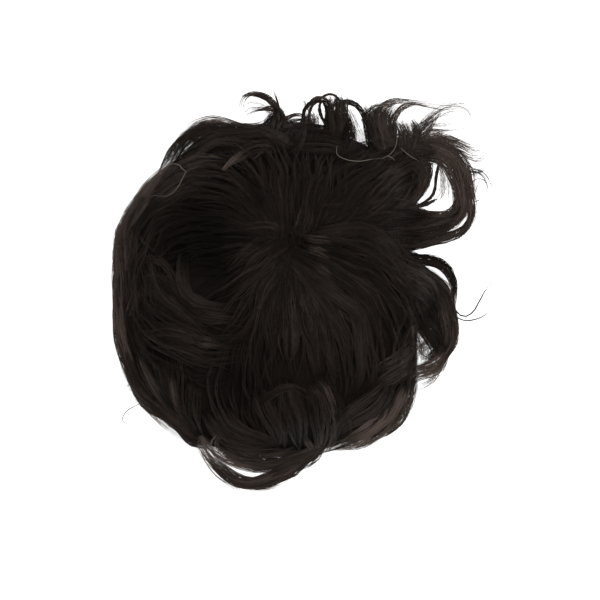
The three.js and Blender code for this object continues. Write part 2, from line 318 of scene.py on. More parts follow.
# %% [markdown]
# The net base
#
# The base is a fine net stretched to the shape of the scalp. Its section is one arc inside, one arc
# outside and a narrow rim, so it is drawn once as a row of edges and spun round the upright axis,
# then stretched to its oval. A Solidify on a dome would do too, but its rim would lean, and this one
# has to lie flat.

# %% Spin the net base
BASE_WALL = 1.5
BASE_ARC_STEPS = 28
BASE_SPIN_STEPS = 96
MERGE_DISTANCE = 1e-4


def base_section(bm):
    """The base's section in the XZ plane, in shares of its outer half sizes, as joined edges."""
    shares = [step / BASE_ARC_STEPS for step in range(BASE_ARC_STEPS + 1)]
    inner = 1 - BASE_WALL / BASE_HALF_WIDTH
    inner_height = 1 - BASE_WALL / BASE_HEIGHT
    inside = [(share * inner, float(dome_rise(share)) * inner_height) for share in shares]
    outside = [(share, float(dome_rise(share))) for share in reversed(shares)]
    verts = [bm.verts.new((x, 0, z)) for x, z in inside + outside]
    edges = [bm.edges.new(pair) for pair in zip(verts, verts[1:])]
    return verts + edges


bm = bmesh.new()
section = base_section(bm)
bmesh.ops.spin(
    bm, geom=section, cent=(0, 0, 0), axis=(0, 0, 1),
    angle=2 * math.pi, steps=BASE_SPIN_STEPS, use_merge=True)
bmesh.ops.remove_doubles(bm, verts=bm.verts, dist=MERGE_DISTANCE)
bmesh.ops.scale(bm, verts=bm.verts, vec=(BASE_HALF_WIDTH * MM, BASE_HALF_LENGTH * MM, BASE_HEIGHT * MM))
bmesh.ops.translate(bm, verts=bm.verts, vec=(PLAN_MIDDLE.x, PLAN_MIDDLE.y, 0))
net_base = finish_bmesh(bm, "net_base")
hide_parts("base_cap")
print("net base faces:", len(net_base.data.polygons))

# %% [markdown]
# The locks that show
#
# The rows above fill the form. What the eye follows are the locks on top: the fan behind the crown,
# the crest beside the left hollow, the roll in front, the open curl. Each is drawn as a few points in
# plan, from its root to its tip, with its width, the share of that width left at its tip, its
# thickness, lift and tone (0 is black, 1 is brown). Some tones hold painted light and shade: rim locks
# are lighter, partly the hair's own brown and partly painted light on the edge, a few pale locks paint
# glints, and a black lock paints the shade of a hollow. Drawing points is what a groomer does with
# guide hairs, and it is easier to set right than angles.

# %% One row for each lock that shows
DRAWN_COLUMNS = ("name", "width", "tip", "thickness", "lift", "tone", "points")
DRAWN_BY_PIECE = {
    "crest_back": [
        ("part_left", 9, 0.4, 4, 0, 0.07, ((-7, 29), (-11, 45), (-13, 60), (-13, 75), (-17, 86))),
        # Painted shade: a black lock laid over the back of the left hollow to darken it.
        ("hollow_shade", 13, 0.5, 4, 2, 0.00, ((-10, 42), (-18, 52), (-26, 62), (-34, 72))),
        ("part_middle", 10, 0.4, 4, 1, 0.08, ((-2, 28), (-6, 45), (-8, 60), (-5, 75), (-6, 88))),
        ("part_right", 10, 0.4, 4, 1, 0.05, ((3, 28), (1, 45), (3, 58), (8, 70), (14, 80), (24, 86))),
        ("root_right", 9, 0.4, 3, 2, 0.13, ((3, 30), (7, 36), (10, 43), (12, 52))),
        ("fan_first", 10, 0.4, 4, 1, 0.07, ((8, 28), (10, 45), (14, 58), (22, 68), (34, 74), (46, 77))),
        ("fan_second", 10, 0.4, 4, 2, 0.05, ((12, 29), (20, 43), (27, 54), (38, 64), (52, 71), (66, 75))),
        ("fan_third", 10, 0.4, 4, 3, 0.05, (
            (16, 30), (24, 35), (31, 41), (40, 48), (50, 57), (62, 66), (84, 78))),
        ("fan_fourth", 10, 0.4, 4, 2, 0.03, (
            (18, 30), (28, 35), (40, 41), (54, 48), (66, 55), (76, 63), (83, 72))),
        # Painted highlight: back_wave is lighter, partly the hair's own brown and partly the highlight
        # along the back wave's crest.
        ("back_wave", 6, 0.4, 5, 6, 0.24, (
            (6, 84), (-2, 89), (-10, 94.5), (-17, 97.5), (-25, 97), (-36, 91))),
        ("back_streak", 4, 0.4, 4, 5, 0.12, ((-5, 94), (2, 97), (9, 97), (16, 94))),
        ("back_dip", 8, 0.4, 4, 4, 0.12, ((-6, 80), (-14, 86), (-22, 86), (-32, 80), (-40, 74))),
        ("back_rim", 9, 0.3, 9, 1, 0.14, (
            (4, 96), (-14, 96.2), (-30, 97.2), (-44, 99.8), (-55, 99), (-65.5, 93.5), (-74, 85),
            (-81.5, 72))),
        ("back_light", 5, 0.5, 4, 3, 0.60, ((-38, 98.5), (-47, 100.5), (-56, 99), (-64, 94), (-72, 85.5))),
        ("back_turn", 10, 0.4, 6, 2, 0.18, (
            (-20, 90), (-34, 91), (-48, 91), (-60, 86), (-71, 77), (-81, 66))),
        ("rim_thin", 1.6, 0.5, 2, 2, 0.15, (
            (-56, 101), (-66, 95.5), (-73.5, 90), (-78, 84), (-80.5, 78), (-84.5, 69))),
    ],
    "crest_top_edge": [
        ("top_first", 10, 0.9, 12, 1, 0.03, ((-10, 84), (-6, 92), (-1, 100), (1, 106))),
        ("top_second", 11, 0.9, 12, 1, 0.03, ((-2, 82), (3, 91), (7, 99), (8, 106))),
        ("top_third", 11, 0.9, 12, 1, 0.02, ((8, 82), (13, 91), (16, 98), (17, 104))),
        ("top_fourth", 11, 0.9, 12, 1, 0.02, ((16, 80), (22, 89), (25, 97), (25, 105))),
        ("top_cross", 12, 0.4, 6, 2, 0.03, ((-14, 91), (0, 97), (12, 98), (24, 95), (36, 89))),
        ("top_cross_low", 12, 0.4, 6, 2, 0.02, ((-6, 84), (8, 90), (20, 90), (32, 85), (46, 81))),
        ("top_wall", 7, 0.9, 12, 1, 0.05, ((28, 86), (33, 94), (34, 101), (32, 108), (31, 119))),
        ("top_wall_low", 7, 0.9, 12, 1, 0.05, ((33, 80), (36.5, 88), (36.5, 95), (34.5, 102), (33, 110))),
        ("top_low", 10, 0.9, 12, 1, 0.03, ((28, 74), (38, 81), (47, 85), (56, 87))),
        ("hook_base", 12, 0.4, 12, 1, 0.06, ((-14, 88), (-12, 96), (-9, 104), (-7, 112))),
        ("hook_base_left", 5, 0.4, 10, 1, 0.06, (
            (-22, 96), (-17, 100), (-13, 103.5), (-10, 107.5), (-8.5, 113))),
        ("hook_base_right", 5, 0.5, 10, 1, 0.06, ((-5, 94), (-5, 101), (-5.5, 106), (-7, 114))),
        ("hook_base_fill", 7, 0.4, 10, 1, 0.06, ((-11, 94), (-10.5, 101), (-9, 107), (-8, 115))),
        ("hook", 2.6, 0.15, 4, 2, 0.10, (
            (-8, 98), (-5.5, 106), (-7, 111), (-10, 115), (-14, 118.7), (-18.5, 121.3), (-24, 122),
            (-33, 119.5))),
        ("hook_inner", 1.2, 0.4, 3, 2, 0.35, (
            (-8, 105), (-9, 111), (-11.5, 115), (-15.5, 118.8), (-20, 121), (-26, 121.3))),
        ("hook_spike", 2.4, 0.1, 3, 1, 0.20, (
            (-6, 106), (-8, 111.5), (-12, 113), (-16, 112.8), (-20, 112), (-22, 111.5))),
        ("brow", 2, 0.4, 3, 1, 0.35, ((-8, 100), (-3, 105.5), (1, 108), (5, 109), (9, 108), (13, 104))),
        ("brow_fill", 6, 0.6, 9, 1, 0.12, ((-9, 96), (-3, 100.5), (3, 103), (9, 103), (17, 99))),
        ("brow_fringe", 6, 0.8, 12, 1, 0.25, ((5, 95), (8, 101), (10.5, 106), (11.5, 111))),
        ("loop_root", 5, 0.8, 10, 1, 0.12, ((10, 96), (13, 101), (14.5, 104.5), (13, 110))),
        ("loop_left", 1.6, 0.9, 3, 2, 0.08, (
            (7, 98), (8.3, 107), (9.3, 112), (12.5, 115.8), (17, 117.6), (21, 117.5), (25, 115.5),
            (28, 111))),
        ("loop_inner", 1, 0.9, 3, 2, 0.12, (
            (11.5, 99), (12, 106), (12.5, 111), (14.5, 115), (18, 117.3), (22, 117))),
        ("loop_cross", 1.2, 0.9, 3, 2, 0.08, (
            (19.5, 118), (18.5, 113), (19.3, 108.5), (21.5, 104.5), (25, 99))),
        ("loop_top", 1.4, 0.8, 3, 2, 0.40, (
            (10, 112), (13.5, 117.3), (18, 119.5), (22.5, 118.3), (26, 113))),
        ("loop_cross_right", 1.2, 0.9, 3, 2, 0.10, (
            (20, 118), (22.5, 114), (23, 110), (22.3, 105), (22, 99))),
        ("loop_clump", 9, 1, 14, 1, 0.16, ((28, 90), (28, 100), (28.5, 110), (30, 121))),
        ("loop_clump_left", 6, 1, 14, 1, 0.16, ((24, 92), (25, 102), (26, 111), (26.5, 121))),
        ("loop_clump_right", 7, 1, 14, 1, 0.16, ((31, 90), (31.5, 101), (31.5, 111), (32, 122))),
        ("loop_thin", 0.8, 0.4, 2, 2, 0.30, (
            (17, 116), (20, 120), (25, 122), (29, 120.5), (32, 116), (33, 110))),
        ("arch", 2.4, 0.8, 3, 2, 0.08, (
            (28, 110), (32, 116), (37, 117), (41, 115.5), (45, 111.5), (48, 105), (50, 97))),
    ],
    "crest_left": [
        # Painted light: upper_first, upper_second and the rim locks down to rim_light are lighter than
        # their neighbours, partly the hair's own brown and partly painted light on the upper left and on
        # the steep left rim.
        ("upper_first", 9, 0.4, 5, 3, 0.40, (
            (-38, 76), (-50, 77), (-62, 77), (-72, 72), (-82, 64), (-92, 54))),
        ("upper_second", 9, 0.4, 5, 3, 0.32, (
            (-42, 70), (-54, 67), (-66, 66), (-78, 61), (-90, 52), (-100, 40))),
        ("upper_third", 8, 0.4, 5, 2, 0.14, (
            (-46, 60), (-58, 60), (-70, 58), (-82, 52), (-93, 42), (-101, 27))),
        ("rim_first", 9, 0.4, 9, 2, 0.48, (
            (-78, 72), (-89, 59), (-98, 48), (-104, 36), (-106, 21), (-106, 4), (-104, -24))),
        ("rim_fill", 7, 0.5, 8, 2, 0.80, (
            (-66, 78), (-75, 75), (-82, 68.5), (-89, 61), (-97, 52), (-103, 40))),
        ("rim_second", 8, 0.4, 9, 1, 0.65, (
            (-103, 32), (-107, 18), (-107, 1), (-106, -16), (-104, -33), (-100, -50))),
        ("rim_third", 8, 0.4, 8, 1, 0.65, (
            (-107, -6), (-106, -22), (-104, -38), (-101, -52), (-96.5, -64), (-88, -74))),
        ("rim_light", 5, 0.6, 4, 4, 0.85, (
            (-108, 3), (-108, -8), (-107.5, -19), (-106.5, -30), (-104, -43), (-99, -57))),
        ("rim_inner", 9, 0.4, 6, 3, 0.18, (
            (-90, 48), (-98, 36), (-101, 20), (-101, 4), (-100, -12), (-102, -25))),
        ("wave_first", 4, 0.4, 5, 5, 0.12, (
            (-93, 7), (-90, 13.5), (-84, 16.5), (-78, 14), (-73, 8.5), (-69, 1), (-65, -7), (-57, -17))),
        ("wave_second", 6, 0.4, 5, 4, 0.14, (
            (-93, 0), (-88, 5), (-81, 5), (-75, 0.5), (-70, -4.5), (-63, -11), (-51, -21))),
        ("wave_third", 6, 0.4, 5, 5, 0.18, (
            (-93, -7), (-88, -3), (-81, -4.5), (-74, -9.5), (-67, -14), (-60, -19), (-49, -27))),
        ("wave_fourth", 7, 0.4, 5, 3, 0.14, (
            (-94, -14), (-88, -10.5), (-80, -13), (-73, -17.5), (-65, -22.5), (-55, -30))),
        ("wave_back", 8, 0.4, 5, 2, 0.03, ((-94, 36), (-90, 29), (-85, 24), (-79, 20), (-74, 14))),
        ("hollow_crest", 7, 0.4, 6, 7, 0.13, (
            (-66, 30), (-66, 21), (-66.5, 11), (-65, 2), (-61.5, -5), (-55, -10.5), (-45, -13),
            (-28, -14))),
        ("hollow_lip", 8, 0.4, 5, 4, 0.10, ((-66, -3), (-60, -12), (-52, -17), (-42, -20), (-28, -21))),
        ("low_arch", 8, 0.4, 5, 5, 0.17, (
            (-96, -36), (-90, -31.5), (-83, -27), (-76, -25), (-69, -26.5), (-60, -31), (-36, -37))),
        ("low_arch_end", 6, 0.4, 5, 5, 0.30, ((-62, -30), (-54, -33), (-46, -35.5), (-38, -37))),
        ("low_arch_under", 8, 0.4, 5, 3, 0.10, (
            (-90, -37), (-80, -34), (-70, -35), (-60, -40), (-48, -44), (-34, -45))),
        ("side_fall", 5, 0.4, 5, 4, 0.30, ((-92, 5), (-94, -3), (-97, -11), (-101, -20), (-106, -27))),
    ],
    "crest_left_front": [
        ("low_first", 6, 0.4, 5, 4, 0.22, (
            (-94, -38), (-91, -46), (-86, -58), (-80, -70), (-74, -81), (-66, -91))),
        ("low_streak_inner", 2.4, 0.4, 4, 5, 0.36, ((-73, -52), (-72, -62), (-70.5, -73), (-66, -90))),
        ("low_streak", 2.4, 0.4, 4, 6, 0.45, ((-95, -38), (-90, -50), (-84, -62), (-77, -74), (-69, -88))),
        ("low_second", 8, 0.4, 5, 3, 0.22, (
            (-102, -38), (-99, -52), (-94, -64), (-84, -73), (-73, -81.5), (-65, -92.5))),
        ("low_third", 7, 0.4, 5, 3, 0.16, ((-106, -30), (-103, -46), (-98, -60), (-90, -71), (-78, -80))),
        ("low_fourth", 6, 0.4, 5, 4, 0.20, ((-74, -50), (-72, -60), (-70, -70), (-67, -81), (-62, -92))),
        ("low_fifth", 8, 0.4, 5, 3, 0.11, ((-84, -42), (-80, -54), (-75, -65), (-71, -76), (-65, -88))),
        ("low_rim_first", 9, 0.5, 10, 1, 0.20, (
            (-100, -57), (-92.5, -70), (-79, -77.5), (-70, -87), (-63, -96.5), (-48, -98))),
        ("low_rim_end", 5, 0.6, 8, 1, 0.10, (
            (-76, -79), (-69, -88.5), (-62, -97.3), (-54, -98.3), (-44, -93))),
        ("low_rim_second", 10, 0.4, 10, 1, 0.16, (
            (-84, -60), (-76, -73), (-68, -84), (-59, -94), (-47, -94))),
        ("low_knot", 8, 0.4, 5, 3, 0.10, ((-60, -56), (-60, -70), (-58, -84), (-55, -96))),
        ("bottom_first", 8, 0.4, 5, 3, 0.15, (
            (-46, -68), (-40, -78), (-32, -86), (-22, -92), (-10, -98), (2, -104))),
        ("bottom_second", 9, 0.4, 5, 2, 0.16, (
            (-54, -76), (-46, -87), (-36, -95), (-24, -100), (-10, -104), (6, -107))),
    ],
    "crest_front_edge": [
        ("bottom_edge", 5, 0.5, 4, 1, 0.60, (
            (-47, -96), (-40, -105), (-30, -110), (-19, -112), (-7, -111.5), (7, -107))),
        ("bottom_fill", 11, 0.8, 9, 1, 0.30, (
            (-42, -93), (-32, -102), (-18, -106.5), (-3, -107), (12, -103))),
        ("bottom_fill_low", 8, 0.8, 6, 1, 0.40, (
            (-44, -100), (-34, -107), (-20, -110.5), (-5, -110.5), (10, -106))),
        ("crescent_root", 10, 0.7, 10, 1, 0.25, (
            (22, -97), (13, -104), (4, -109.5), (-6, -114), (-16, -117.5))),
        ("crescent", 8, 0.7, 8, 0, 0.34, (
            (22, -98), (13.5, -103.5), (6, -109.5), (-2, -116), (-10.5, -120.8), (-21, -123.3),
            (-32, -121.5), (-42, -116.5), (-49, -110), (-52, -104))),
        ("crescent_outer", 2.5, 0.6, 4, 0, 0.28, (
            (9, -107), (2.5, -114.5), (-5, -121), (-14.5, -125.5), (-26, -125.8), (-36, -123), (-45, -118),
            (-53, -109))),
    ],
    "crest_front": [
        ("fall_upper", 8, 0.4, 4, 1, 0.10, ((-1, 31), (-14, 28), (-25, 21), (-35, 13), (-44, 7))),
        ("root_left", 9, 0.4, 3, 2, 0.15, ((-3, 31), (-13, 35), (-24, 36), (-38, 34))),
        ("fall_first", 9, 0.4, 4, 1, 0.10, ((1, 26), (-11, 19), (-21, 12), (-30, 3), (-40, -6))),
        ("fall_second", 9, 0.4, 4, 2, 0.10, ((2, 20), (-8, 11), (-15, 2), (-20, -9), (-24, -22))),
        ("fall_third", 9, 0.4, 4, 2, 0.05, (
            (2, 14), (-4, 4), (-8, -6), (-11, -17), (-12, -32), (-10, -52))),
        ("fall_fourth", 9, 0.4, 4, 2, 0.15, ((4, 11), (4, -2), (4, -14), (2, -30), (0, -48))),
        ("fall_light", 10, 0.4, 4, 2, 0.16, ((2, -14), (1, -26), (-1, -36), (-3, -50))),
        ("fall_fifth", 9, 0.4, 4, 2, 0.14, ((7, 9), (10, -4), (12, -16), (15, -34), (17, -58))),
        ("fall_sixth", 9, 0.4, 4, 2, 0.13, ((9, 8), (14, -4), (18, -14), (22, -28), (26, -44), (27, -62))),
        ("fall_seventh", 8, 0.4, 4, 3, 0.14, (
            (11, 7), (19, -4), (27, -15), (32, -28), (35, -42), (36, -58))),
        ("long_lock", 8, 0.4, 5, 5, 0.15, (
            (12, 8), (22, 0), (33, -9), (41, -18), (44, -32), (43, -52), (34, -72))),
        ("roll_outer", 4, 0.4, 4, 2, 0.15, (
            (-19, -76), (-17, -71), (-11, -65), (-4, -62), (4, -62), (11, -66), (16, -72))),
        ("roll_right", 3, 0.4, 4, 4, 0.34, ((18, -56), (22, -61), (25, -68), (27, -77), (27, -88))),
        ("roll_fall_left", 12, 0.5, 5, 1, 0.12, (
            (-22, -60), (-15, -72), (-11, -83), (-8, -93), (-4, -103))),
        ("roll_fall_middle", 12, 0.5, 5, 1, 0.12, ((-4, -54), (0, -66), (3, -78), (4, -90), (7, -104))),
        ("roll_fall_right", 10, 0.5, 5, 2, 0.16, ((10, -56), (15, -67), (19, -78), (20, -89), (18, -101))),
        # Painted highlights: the three pinch locks are pale to paint the whitish glints where the front
        # locks pinch together.
        ("pinch_right", 5, 0.5, 4, 3, 0.36, ((25, -86), (26, -94), (24, -100.5), (19, -106))),
        ("pinch_middle", 4, 0.6, 4, 3, 0.45, ((17, -92), (18, -99), (17, -107))),
        ("pinch_left", 3, 0.4, 4, 2, 0.55, ((9, -93), (13, -100), (16, -106))),
    ],
    "crest_right": [
        ("stem_first", 4, 0.4, 3, 3, 0.22, ((7, 30), (14, 29), (22, 28), (31, 25))),
        ("stem_second", 4, 0.4, 3, 3, 0.22, ((8, 24.5), (15, 22), (23, 18), (30, 12))),
        ("stem_third", 4, 0.4, 3, 3, 0.20, ((11, 17), (18, 12.5), (26, 6), (33, -1))),
        ("stem_fourth", 4, 0.4, 3, 3, 0.16, ((15, 9), (22, 3), (31, -4), (38, -10))),
        ("right_first", 8, 0.4, 4, 3, 0.12, (
            (11, 13), (21, 8), (31, -2), (41, -10), (48, -20), (52, -34))),
        ("right_second", 8, 0.4, 4, 3, 0.04, (
            (10, 19), (24, 14), (38, 3), (50, -8), (58, -20), (62, -34))),
        ("sweep_first", 8, 0.4, 4, 3, 0.03, (
            (9, 25), (24, 22), (38, 15), (50, 7), (60, -5), (66, -18), (70, -32))),
        ("sweep_second", 8, 0.4, 4, 4, 0.05, (
            (8, 30), (24, 30), (40, 27), (52, 20), (62, 10), (70, -2), (78, -26))),
        ("sweep_third", 9, 0.4, 5, 5, 0.09, (
            (12, 33), (28, 34), (44, 36), (55, 32), (63, 22), (70, 10), (84, -20))),
        ("band_first", 8, 0.4, 5, 3, 0.04, ((36, 38), (50, 38), (64, 36), (78, 33), (90, 31))),
        ("band_second", 8, 0.4, 5, 3, 0.05, ((36, 42), (52, 43), (66, 42), (80, 41), (92, 39), (102, 38))),
        ("low_right_first", 7, 0.4, 5, 4, 0.24, ((79, -30), (75, -38), (67, -43), (58, -48), (49, -54))),
        ("low_right_second", 8, 0.4, 5, 3, 0.26, ((80, -42), (74, -48), (65, -52), (57, -57), (48, -66))),
        # Painted light: most rim locks at the front right are pale, partly the hair's own brown and partly
        # painted light for light showing through thin hair at the edge.
        ("rim_right_first", 6, 0.5, 6, 2, 0.50, (
            (79, -53), (76.5, -63), (74.5, -72), (70.5, -80), (62, -88.5), (42, -98))),
        ("rim_right_fill", 5, 0.5, 6, 1, 0.55, (
            (77, -58), (75, -67), (72, -75), (66, -82), (56, -89.5), (40, -96))),
        ("rim_right_join", 5, 0.5, 6, 2, 0.75, (
            (73, -70), (68, -79), (60, -86.5), (50, -92.5), (38, -97), (22, -100))),
        ("rim_right_inner", 7, 0.4, 5, 3, 0.22, (
            (66, -58), (61, -66), (54, -74), (45, -81), (34, -88), (26, -94))),
        ("rim_right_deep", 7, 0.4, 5, 3, 0.16, (
            (60, -56), (52, -65), (44, -72), (35, -79), (26, -86), (21, -94))),
        ("rim_right_second", 7, 0.4, 5, 3, 0.75, (
            (73, -58), (70, -68), (65, -77), (57, -85), (48, -90), (36, -96))),
        ("rim_right_third", 6, 0.4, 4, 3, 0.82, (
            (68, -66), (64, -74), (57, -81.5), (49, -88), (39, -93), (29, -98))),
        ("rim_streak_dark", 1.6, 0.5, 3, 4, 0.03, ((64, -64), (60, -75), (53, -85), (43, -93), (30, -98))),
        ("rim_streak_light", 1.8, 0.5, 3, 4, 1.00, (
            (67, -64), (63.5, -76), (56, -86.5), (45, -95), (28, -101))),
        ("rim_streak_dark_low", 1.6, 0.5, 3, 4, 0.05, (
            (72, -64), (68, -77), (60.5, -87.5), (50, -96), (35, -101.5))),
        ("rim_streak_light_low", 1.6, 0.5, 3, 3, 0.95, (
            (75, -64), (71.5, -77), (64, -88), (54, -96.5), (40, -102))),
        ("rim_right_fringe", 4, 0.6, 4, 1, 1.00, (
            (69, -83), (61, -90.5), (51, -96.5), (40, -100), (30, -101.5), (22, -101))),
        ("rim_right_thin", 1.2, 0.4, 2, 1, 0.10, (
            (77, -62), (76.5, -72), (73.5, -80.5), (69, -87.5), (62, -93), (57, -97))),
    ],
    "crest_bulge": [
        ("bulge_root", 8, 0.8, 10, 1, 0.08, ((54, 22), (64, 20), (74, 18), (86, 14.5))),
        ("bulge_strand", 4.8, 0.35, 9, 2, 0.06, (
            (64, 18.5), (76, 18.3), (85, 17.3), (91, 15.8), (96.5, 12.8), (100.8, 9), (103.3, 4.5),
            (104.3, -0.5), (103.8, -6), (103, -14))),
        ("bulge_low", 10, 0.8, 12, 1, 0.08, ((72, 0), (77, -9), (80, -18), (82, -25), (85, -32))),
        ("bulge_bank", 5, 0.8, 10, 0, 0.06, (
            (71, -6), (75, -20), (76, -34), (76, -48), (75, -62), (72, -76))),
        ("bulge_top", 9, 0.6, 10, 2, 0.10, (
            (58, 15.5), (70, 14.5), (80, 11), (87, 6.5), (92.5, 0.5), (96.5, -6), (98.5, -14), (97, -25))),
        ("bulge_shoulder", 5, 0.7, 9, 1, 0.24, (
            (82, 11), (90, 7), (95.5, 1.5), (99.5, -5), (101, -12), (101, -20))),
        ("bulge_face", 12, 0.4, 12, 2, 0.14, (
            (66, 12), (78, 6), (87, -1), (92, -9), (94, -18), (94, -28))),
        ("bulge_inner", 12, 0.4, 12, 2, 0.06, (
            (62, 8), (73, 2), (81, -5), (86, -13), (88, -22), (88, -30))),
        ("bulge_heart", 12, 0.5, 12, 1, 0.03, ((84, -6), (90, -15), (95, -24), (96, -32), (95, -42))),
        ("bulge_heart_low", 10, 0.8, 14, 1, 0.04, ((80, -8), (85, -18), (90, -26), (94, -33), (95, -42))),
        ("bulge_hole_edge", 6, 0.9, 13, 1, 0.06, (
            (77, -13), (81.5, -22), (86.5, -29.5), (90.5, -35.5), (93, -43))),
        ("bulge_side", 9, 0.4, 12, 1, 0.26, (
            (92, 0), (98, -10), (99.5, -19), (100, -28), (98, -36), (92, -43), (84, -49))),
        ("bulge_edge", 4, 0.5, 10, 1, 0.35, (
            (100.5, -8), (103, -17), (103.8, -25), (103, -33), (98.5, -42), (94, -49), (87, -54))),
        # Painted light: the bulge's end locks are pale, partly the hair's own brown and partly painted
        # light for light showing through thin hair at the edge.
        ("bulge_end", 7, 0.7, 8, 1, 0.75, ((99, -36), (95.5, -43), (90, -48), (83, -51), (72, -55))),
        ("bulge_end_middle", 5, 0.8, 6, 1, 0.80, (
            (98, -40), (94, -46.5), (88, -50.5), (80, -53.5), (71, -57))),
        ("bulge_end_low", 5, 0.9, 5, 1, 0.95, ((99, -43), (95, -49), (89, -53), (83, -55.5), (74, -60))),
    ],
    "crest_open_curl": [
        ("curl_outer", 8, 0.4, 7, 2, 0.45, (
            (70, 86), (86, 90), (98, 85), (105.5, 77), (109, 67), (109.5, 57), (109, 50), (104, 42),
            (84, 33))),
        ("curl_inner", 6, 0.4, 7, 2, 0.46, (
            (76, 82), (91, 82), (99, 77), (104.5, 69), (106.5, 59), (106, 50), (101, 43), (82, 37))),
        ("curl_edge", 4, 0.4, 6, 1, 0.64, (
            (80, 91), (94, 87.5), (102.5, 82.5), (109, 75), (112.3, 66), (113.5, 56), (115, 46),
            (111, 36.5), (88, 28.5))),
        ("curl_shade", 2, 0.5, 4, 4, 0.05, (
            (78, 86), (92, 86.5), (100.5, 80.5), (106, 72), (108, 62), (107.5, 52), (104, 45))),
        ("curl_shade_low", 2.5, 0.5, 4, 4, 0.08, (
            (108.5, 66), (108, 55), (105.5, 47.5), (98, 42), (86, 38))),
        ("curl_light", 1.6, 0.5, 3, 4, 0.95, ((84, 91.5), (96, 89), (104, 82.5), (109.8, 74), (112, 64))),
        ("curl_light_low", 1.6, 0.5, 3, 4, 0.90, ((111.5, 68), (111.8, 58), (110.5, 49), (105, 41.5))),
        ("curl_heart", 9, 0.4, 8, 2, 0.24, (
            (52, 64), (66, 72), (77, 76), (82, 71), (81, 63), (76, 56), (60, 47))),
        ("curl_heart_edge", 5, 0.4, 10, 2, 0.38, (
            (68, 78), (79, 80), (85.5, 77), (86, 70), (84, 62.5), (79, 55), (64, 48))),
        ("curl_side", 10, 0.4, 8, 2, 0.10, ((42, 44), (54, 52), (66, 60), (74, 67), (79, 74), (84, 82))),
        ("curl_fill", 12, 0.4, 8, 1, 0.03, ((46, 46), (58, 52), (68, 58), (75, 62), (80, 66))),
        ("curl_strand", 1.2, 0.4, 2, 3, 0.20, (
            (95, 80), (93, 74), (92, 66), (91, 60), (87, 55), (79, 51), (70, 49))),
        ("curl_strand_low", 1.2, 0.4, 2, 3, 0.20, ((93, 56), (87, 52.5), (80, 50.5), (70, 48))),
        ("curl_low", 3, 0.4, 7, 2, 0.24, (
            (56, 34), (70, 31.5), (84, 32), (96, 35.5), (105, 41), (110.5, 48.5), (112, 60))),
        ("curl_low_fill", 9, 0.7, 10, 1, 0.08, ((52, 35), (64, 32.5), (78, 32.5), (90, 35), (102, 40))),
        ("curl_low_join", 7.5, 0.6, 9, 1, 0.08, ((56, 44), (70, 43), (84, 42), (98, 42))),
        ("curl_low_bank", 6, 0.7, 8, 1, 0.06, ((60, 45), (72, 45), (84, 44.3), (96, 42.5), (103, 44))),
        ("curl_low_base", 5.5, 0.7, 7, 1, 0.08, (
            (58, 30.5), (72, 29.5), (86, 30.8), (96, 33.5), (103, 36.5))),
        ("curl_low_middle", 6, 0.4, 8, 2, 0.22, (
            (58, 41), (72, 38.5), (86, 38.5), (97, 41.5), (104, 47), (107.5, 55), (108, 67))),
        ("curl_low_inner", 5, 0.4, 7, 2, 0.30, (
            (62, 48), (74, 48), (82, 47.3), (90, 45.8), (97, 45), (103, 48.5), (106.5, 57), (106.5, 66))),
        ("curl_low_edge", 5, 0.4, 8, 1, 0.20, (
            (56, 28), (70, 26.3), (84, 27.6), (99, 31.3), (108.5, 36.3), (113.8, 44.5), (115.3, 56))),
    ],
    "crest_tuft": [
        ("tuft_side", 5, 0.8, 12, 1, 0.12, ((55, 78), (52, 90), (49, 101), (46.5, 110), (46, 116))),
        ("tuft_first", 7, 0.7, 14, 1, 0.22, ((58, 78), (56, 91), (53, 102), (51.5, 110), (52.5, 116))),
        ("tuft_second", 8, 0.6, 14, 1, 0.34, ((59, 78), (58, 90), (56.5, 101), (56.5, 109), (59, 116))),
        ("tuft_third", 8, 0.6, 12, 1, 0.40, ((62, 78), (62, 90), (60.5, 101), (60.5, 108), (63, 115))),
        ("tuft_fourth", 6, 0.5, 10, 1, 0.45, ((64, 80), (64.5, 90), (64, 100), (64.5, 106), (67, 112))),
        ("tuft_clump", 9, 0.7, 14, 1, 0.25, ((67, 76), (69.5, 85), (71, 94), (70.5, 101), (67, 106))),
        ("tuft_clump_right", 9, 0.7, 14, 1, 0.22, ((71, 76), (75, 85), (77.5, 93), (77, 100), (73, 105))),
        ("tuft_base", 16, 0.9, 12, 1, 0.08, ((44, 72), (56, 80), (68, 84), (82, 87))),
        ("tuft_base_right", 14, 0.9, 12, 1, 0.16, ((58, 72), (70, 78), (82, 83), (94, 83))),
        ("tuft_join", 7, 0.7, 10, 1, 0.20, ((68, 84), (78, 86), (89, 85.5), (99, 81))),
        ("tuft_base_back", 12, 0.9, 12, 1, 0.32, ((52, 82), (62, 88), (74, 91), (86, 91))),
    ],
    "crest_wisps": [
        ("spike_first", 7, 0.25, 6, 1, 0.55, ((74, 86), (80, 96), (87, 104), (96, 112))),
        ("spike_low", 6, 0.3, 6, 1, 0.50, ((76, 88), (83, 96), (88, 101), (91, 108))),
        ("spike_second", 5, 0.25, 6, 1, 0.55, ((74, 88), (84, 95), (91, 98), (100, 99.5))),
        ("spike_third", 6, 0.3, 6, 1, 0.55, ((78, 88), (92, 94), (102, 92.5), (114, 88))),
        ("spike_fourth", 6, 0.4, 6, 1, 0.50, ((84, 88), (97, 90.5), (106, 88), (115, 83.5))),
        ("spike_fifth", 4, 0.3, 4, 1, 0.40, ((102, 81), (110, 75.5), (116, 72.5), (125, 73.5))),
        ("wisp_left", 4, 0.3, 2, 1, 0.75, ((54, 101), (55.5, 108), (59, 113.5), (66, 117), (78, 118))),
        ("wisp_right", 3, 0.3, 2, 1, 0.75, ((64, 98), (65.5, 106.5), (69, 112.5), (75.5, 116), (86, 116))),
    ],
}
print("drawn locks:", sum(len(rows) for rows in DRAWN_BY_PIECE.values()))

